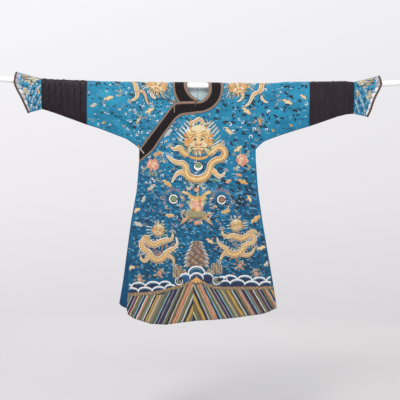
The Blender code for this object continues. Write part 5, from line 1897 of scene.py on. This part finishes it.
def embroider():
    for face in (front, back):
        canvas["face"] = face
        centralDragon()
        shoulderDragons()
        centreEmblem()
        for dragon in lowerPair:
            lowerDragon(**dragon)
        centralRock()
        hemStripes()
        waves()
        pebbledLine()
        scatter()
        groundMarks()
        fineMarks()
    for name, data in sleeves.items():
        cuffPicture(name, data)
    count = 0
    for name, data in work.items():
        finish = finishes["goldThread" if name.endswith("Gold") else "silkThread"]
        makeEmbroidery(name + "Embroidery", data, finish)
        count += sum(len(face) - 2 for face in data["faces"])
    print("embroidery made:", canvas["count"], "strokes,", count, "triangles")


embroider()

# rod, buttons and cords keep their solids

carried = {
    "hanging_rod": "rodPaint", "neck_button": "gilt", "collar_button": "gilt", "underarm_button": "gilt",
    "neck_loop": "darkCord", "collar_loop": "darkCord", "underarm_loop": "cord", "collar_button_stay": "cord",
}
for nodeName, finish in carried.items():
    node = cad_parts[nodeName]
    node.data.materials.clear()
    node.data.materials.append(finishes[finish])

# camera, light and floor

view = {"centre": (0.020, -0.651), "away": 4.5, "width": 2.28, "roll": 0.6}
cameraData = bpy.data.cameras.new("camera")
camera = bpy.data.objects.new("camera", cameraData)
bpy.context.scene.collection.objects.link(camera)
camera.location = (view["centre"][0], -view["away"], view["centre"][1])
camera.rotation_euler = (math.pi / 2, -math.radians(view["roll"]), 0.0)
cameraData.sensor_width = 36.0
cameraData.lens = 36.0 * view["away"] / view["width"]
cameraData.dof.use_dof = False
bpy.context.scene.camera = camera


def addLight(name, size, energy, place, target, colour=(1.0, 1.0, 1.0)):
    data = bpy.data.lights.new(name, "AREA")
    data.shape = "RECTANGLE"
    data.size, data.size_y = size
    data.energy = energy
    data.color = colour
    lamp = bpy.data.objects.new(name, data)
    bpy.context.scene.collection.objects.link(lamp)
    lamp.location = place
    lamp.rotation_euler = (Vector(target) - Vector(place)).to_track_quat("-Z", "Y").to_euler()


addLight("keyLight", (1.4, 1.4), 124.0, (-1.5, -3.3, 2.9), (0.0, 0.0, -0.6), (1.0, 0.985, 0.965))
addLight("fillLight", (2.4, 2.4), 34.0, (2.8, -3.6, 0.0), (0.0, 0.0, -0.7), (0.96, 0.98, 1.0))
addLight("backLight", (2.4, 2.4), 100.0, (1.6, 3.4, 3.2), (0.0, 0.0, -0.6))

world = bpy.data.worlds.new("studio")
bpy.context.scene.world = world
world.use_nodes = True
sky = world.node_tree
sky.nodes.clear()
toward = addNode(sky, "ShaderNodeTexCoord").outputs["Generated"]
skyUp = ramped(sky, alongAxis(sky, toward, "Z", -0.26, 0.26), (
    (0.0, rgb(218, 216, 218)), (0.24, rgb(224, 222, 224)), (0.5, rgb(237, 235, 238)),
    (1.0, rgb(249, 248, 252))))
skyAcross = ramped(sky, alongAxis(sky, toward, "X", -0.24, 0.24), ((0.0, grey(1.0)), (1.0, grey(0.93))))
shine = linked(sky, "ShaderNodeBackground", "Color", blended(sky, skyUp, skyAcross), {"Strength": 1.0})
linked(sky, "ShaderNodeOutputWorld", "Surface", shine.outputs["Background"])
bpy.context.scene.view_settings.view_transform = "Standard"

bpy.ops.mesh.primitive_circle_add(vertices=96, radius=4.5, fill_type="NGON", location=(0.0, 0.0, -1.95))
floor = bpy.context.object
floor.name = "floor"
floorFinish, floorTree, floorShader, floorCoords = newFinish("paleFloor", 0.8, specular=0.2)
# painted light on the floor: its colour is lighter towards the left, where the key lamp stands, and lighter
# towards its far edge
floorPaintedLightAcross = ramped(floorTree, alongAxis(floorTree, floorCoords["Object"], "X", -1.6, 1.2),
                     ((0.0, rgb(201, 200, 200)), (1.0, rgb(191, 190, 189))))
floorPaintedLightAway = ramped(floorTree, alongAxis(floorTree, floorCoords["Object"], "Y", -1.5, 4.5),
                   ((0.0, grey(0.90)), (0.45, grey(0.97)), (1.0, grey(1.12))))
floorTree.links.new(blended(floorTree, floorPaintedLightAcross, floorPaintedLightAway), floorShader.inputs["Base Color"])
floor.data.materials.append(floorFinish)

bpy.context.view_layer.update()
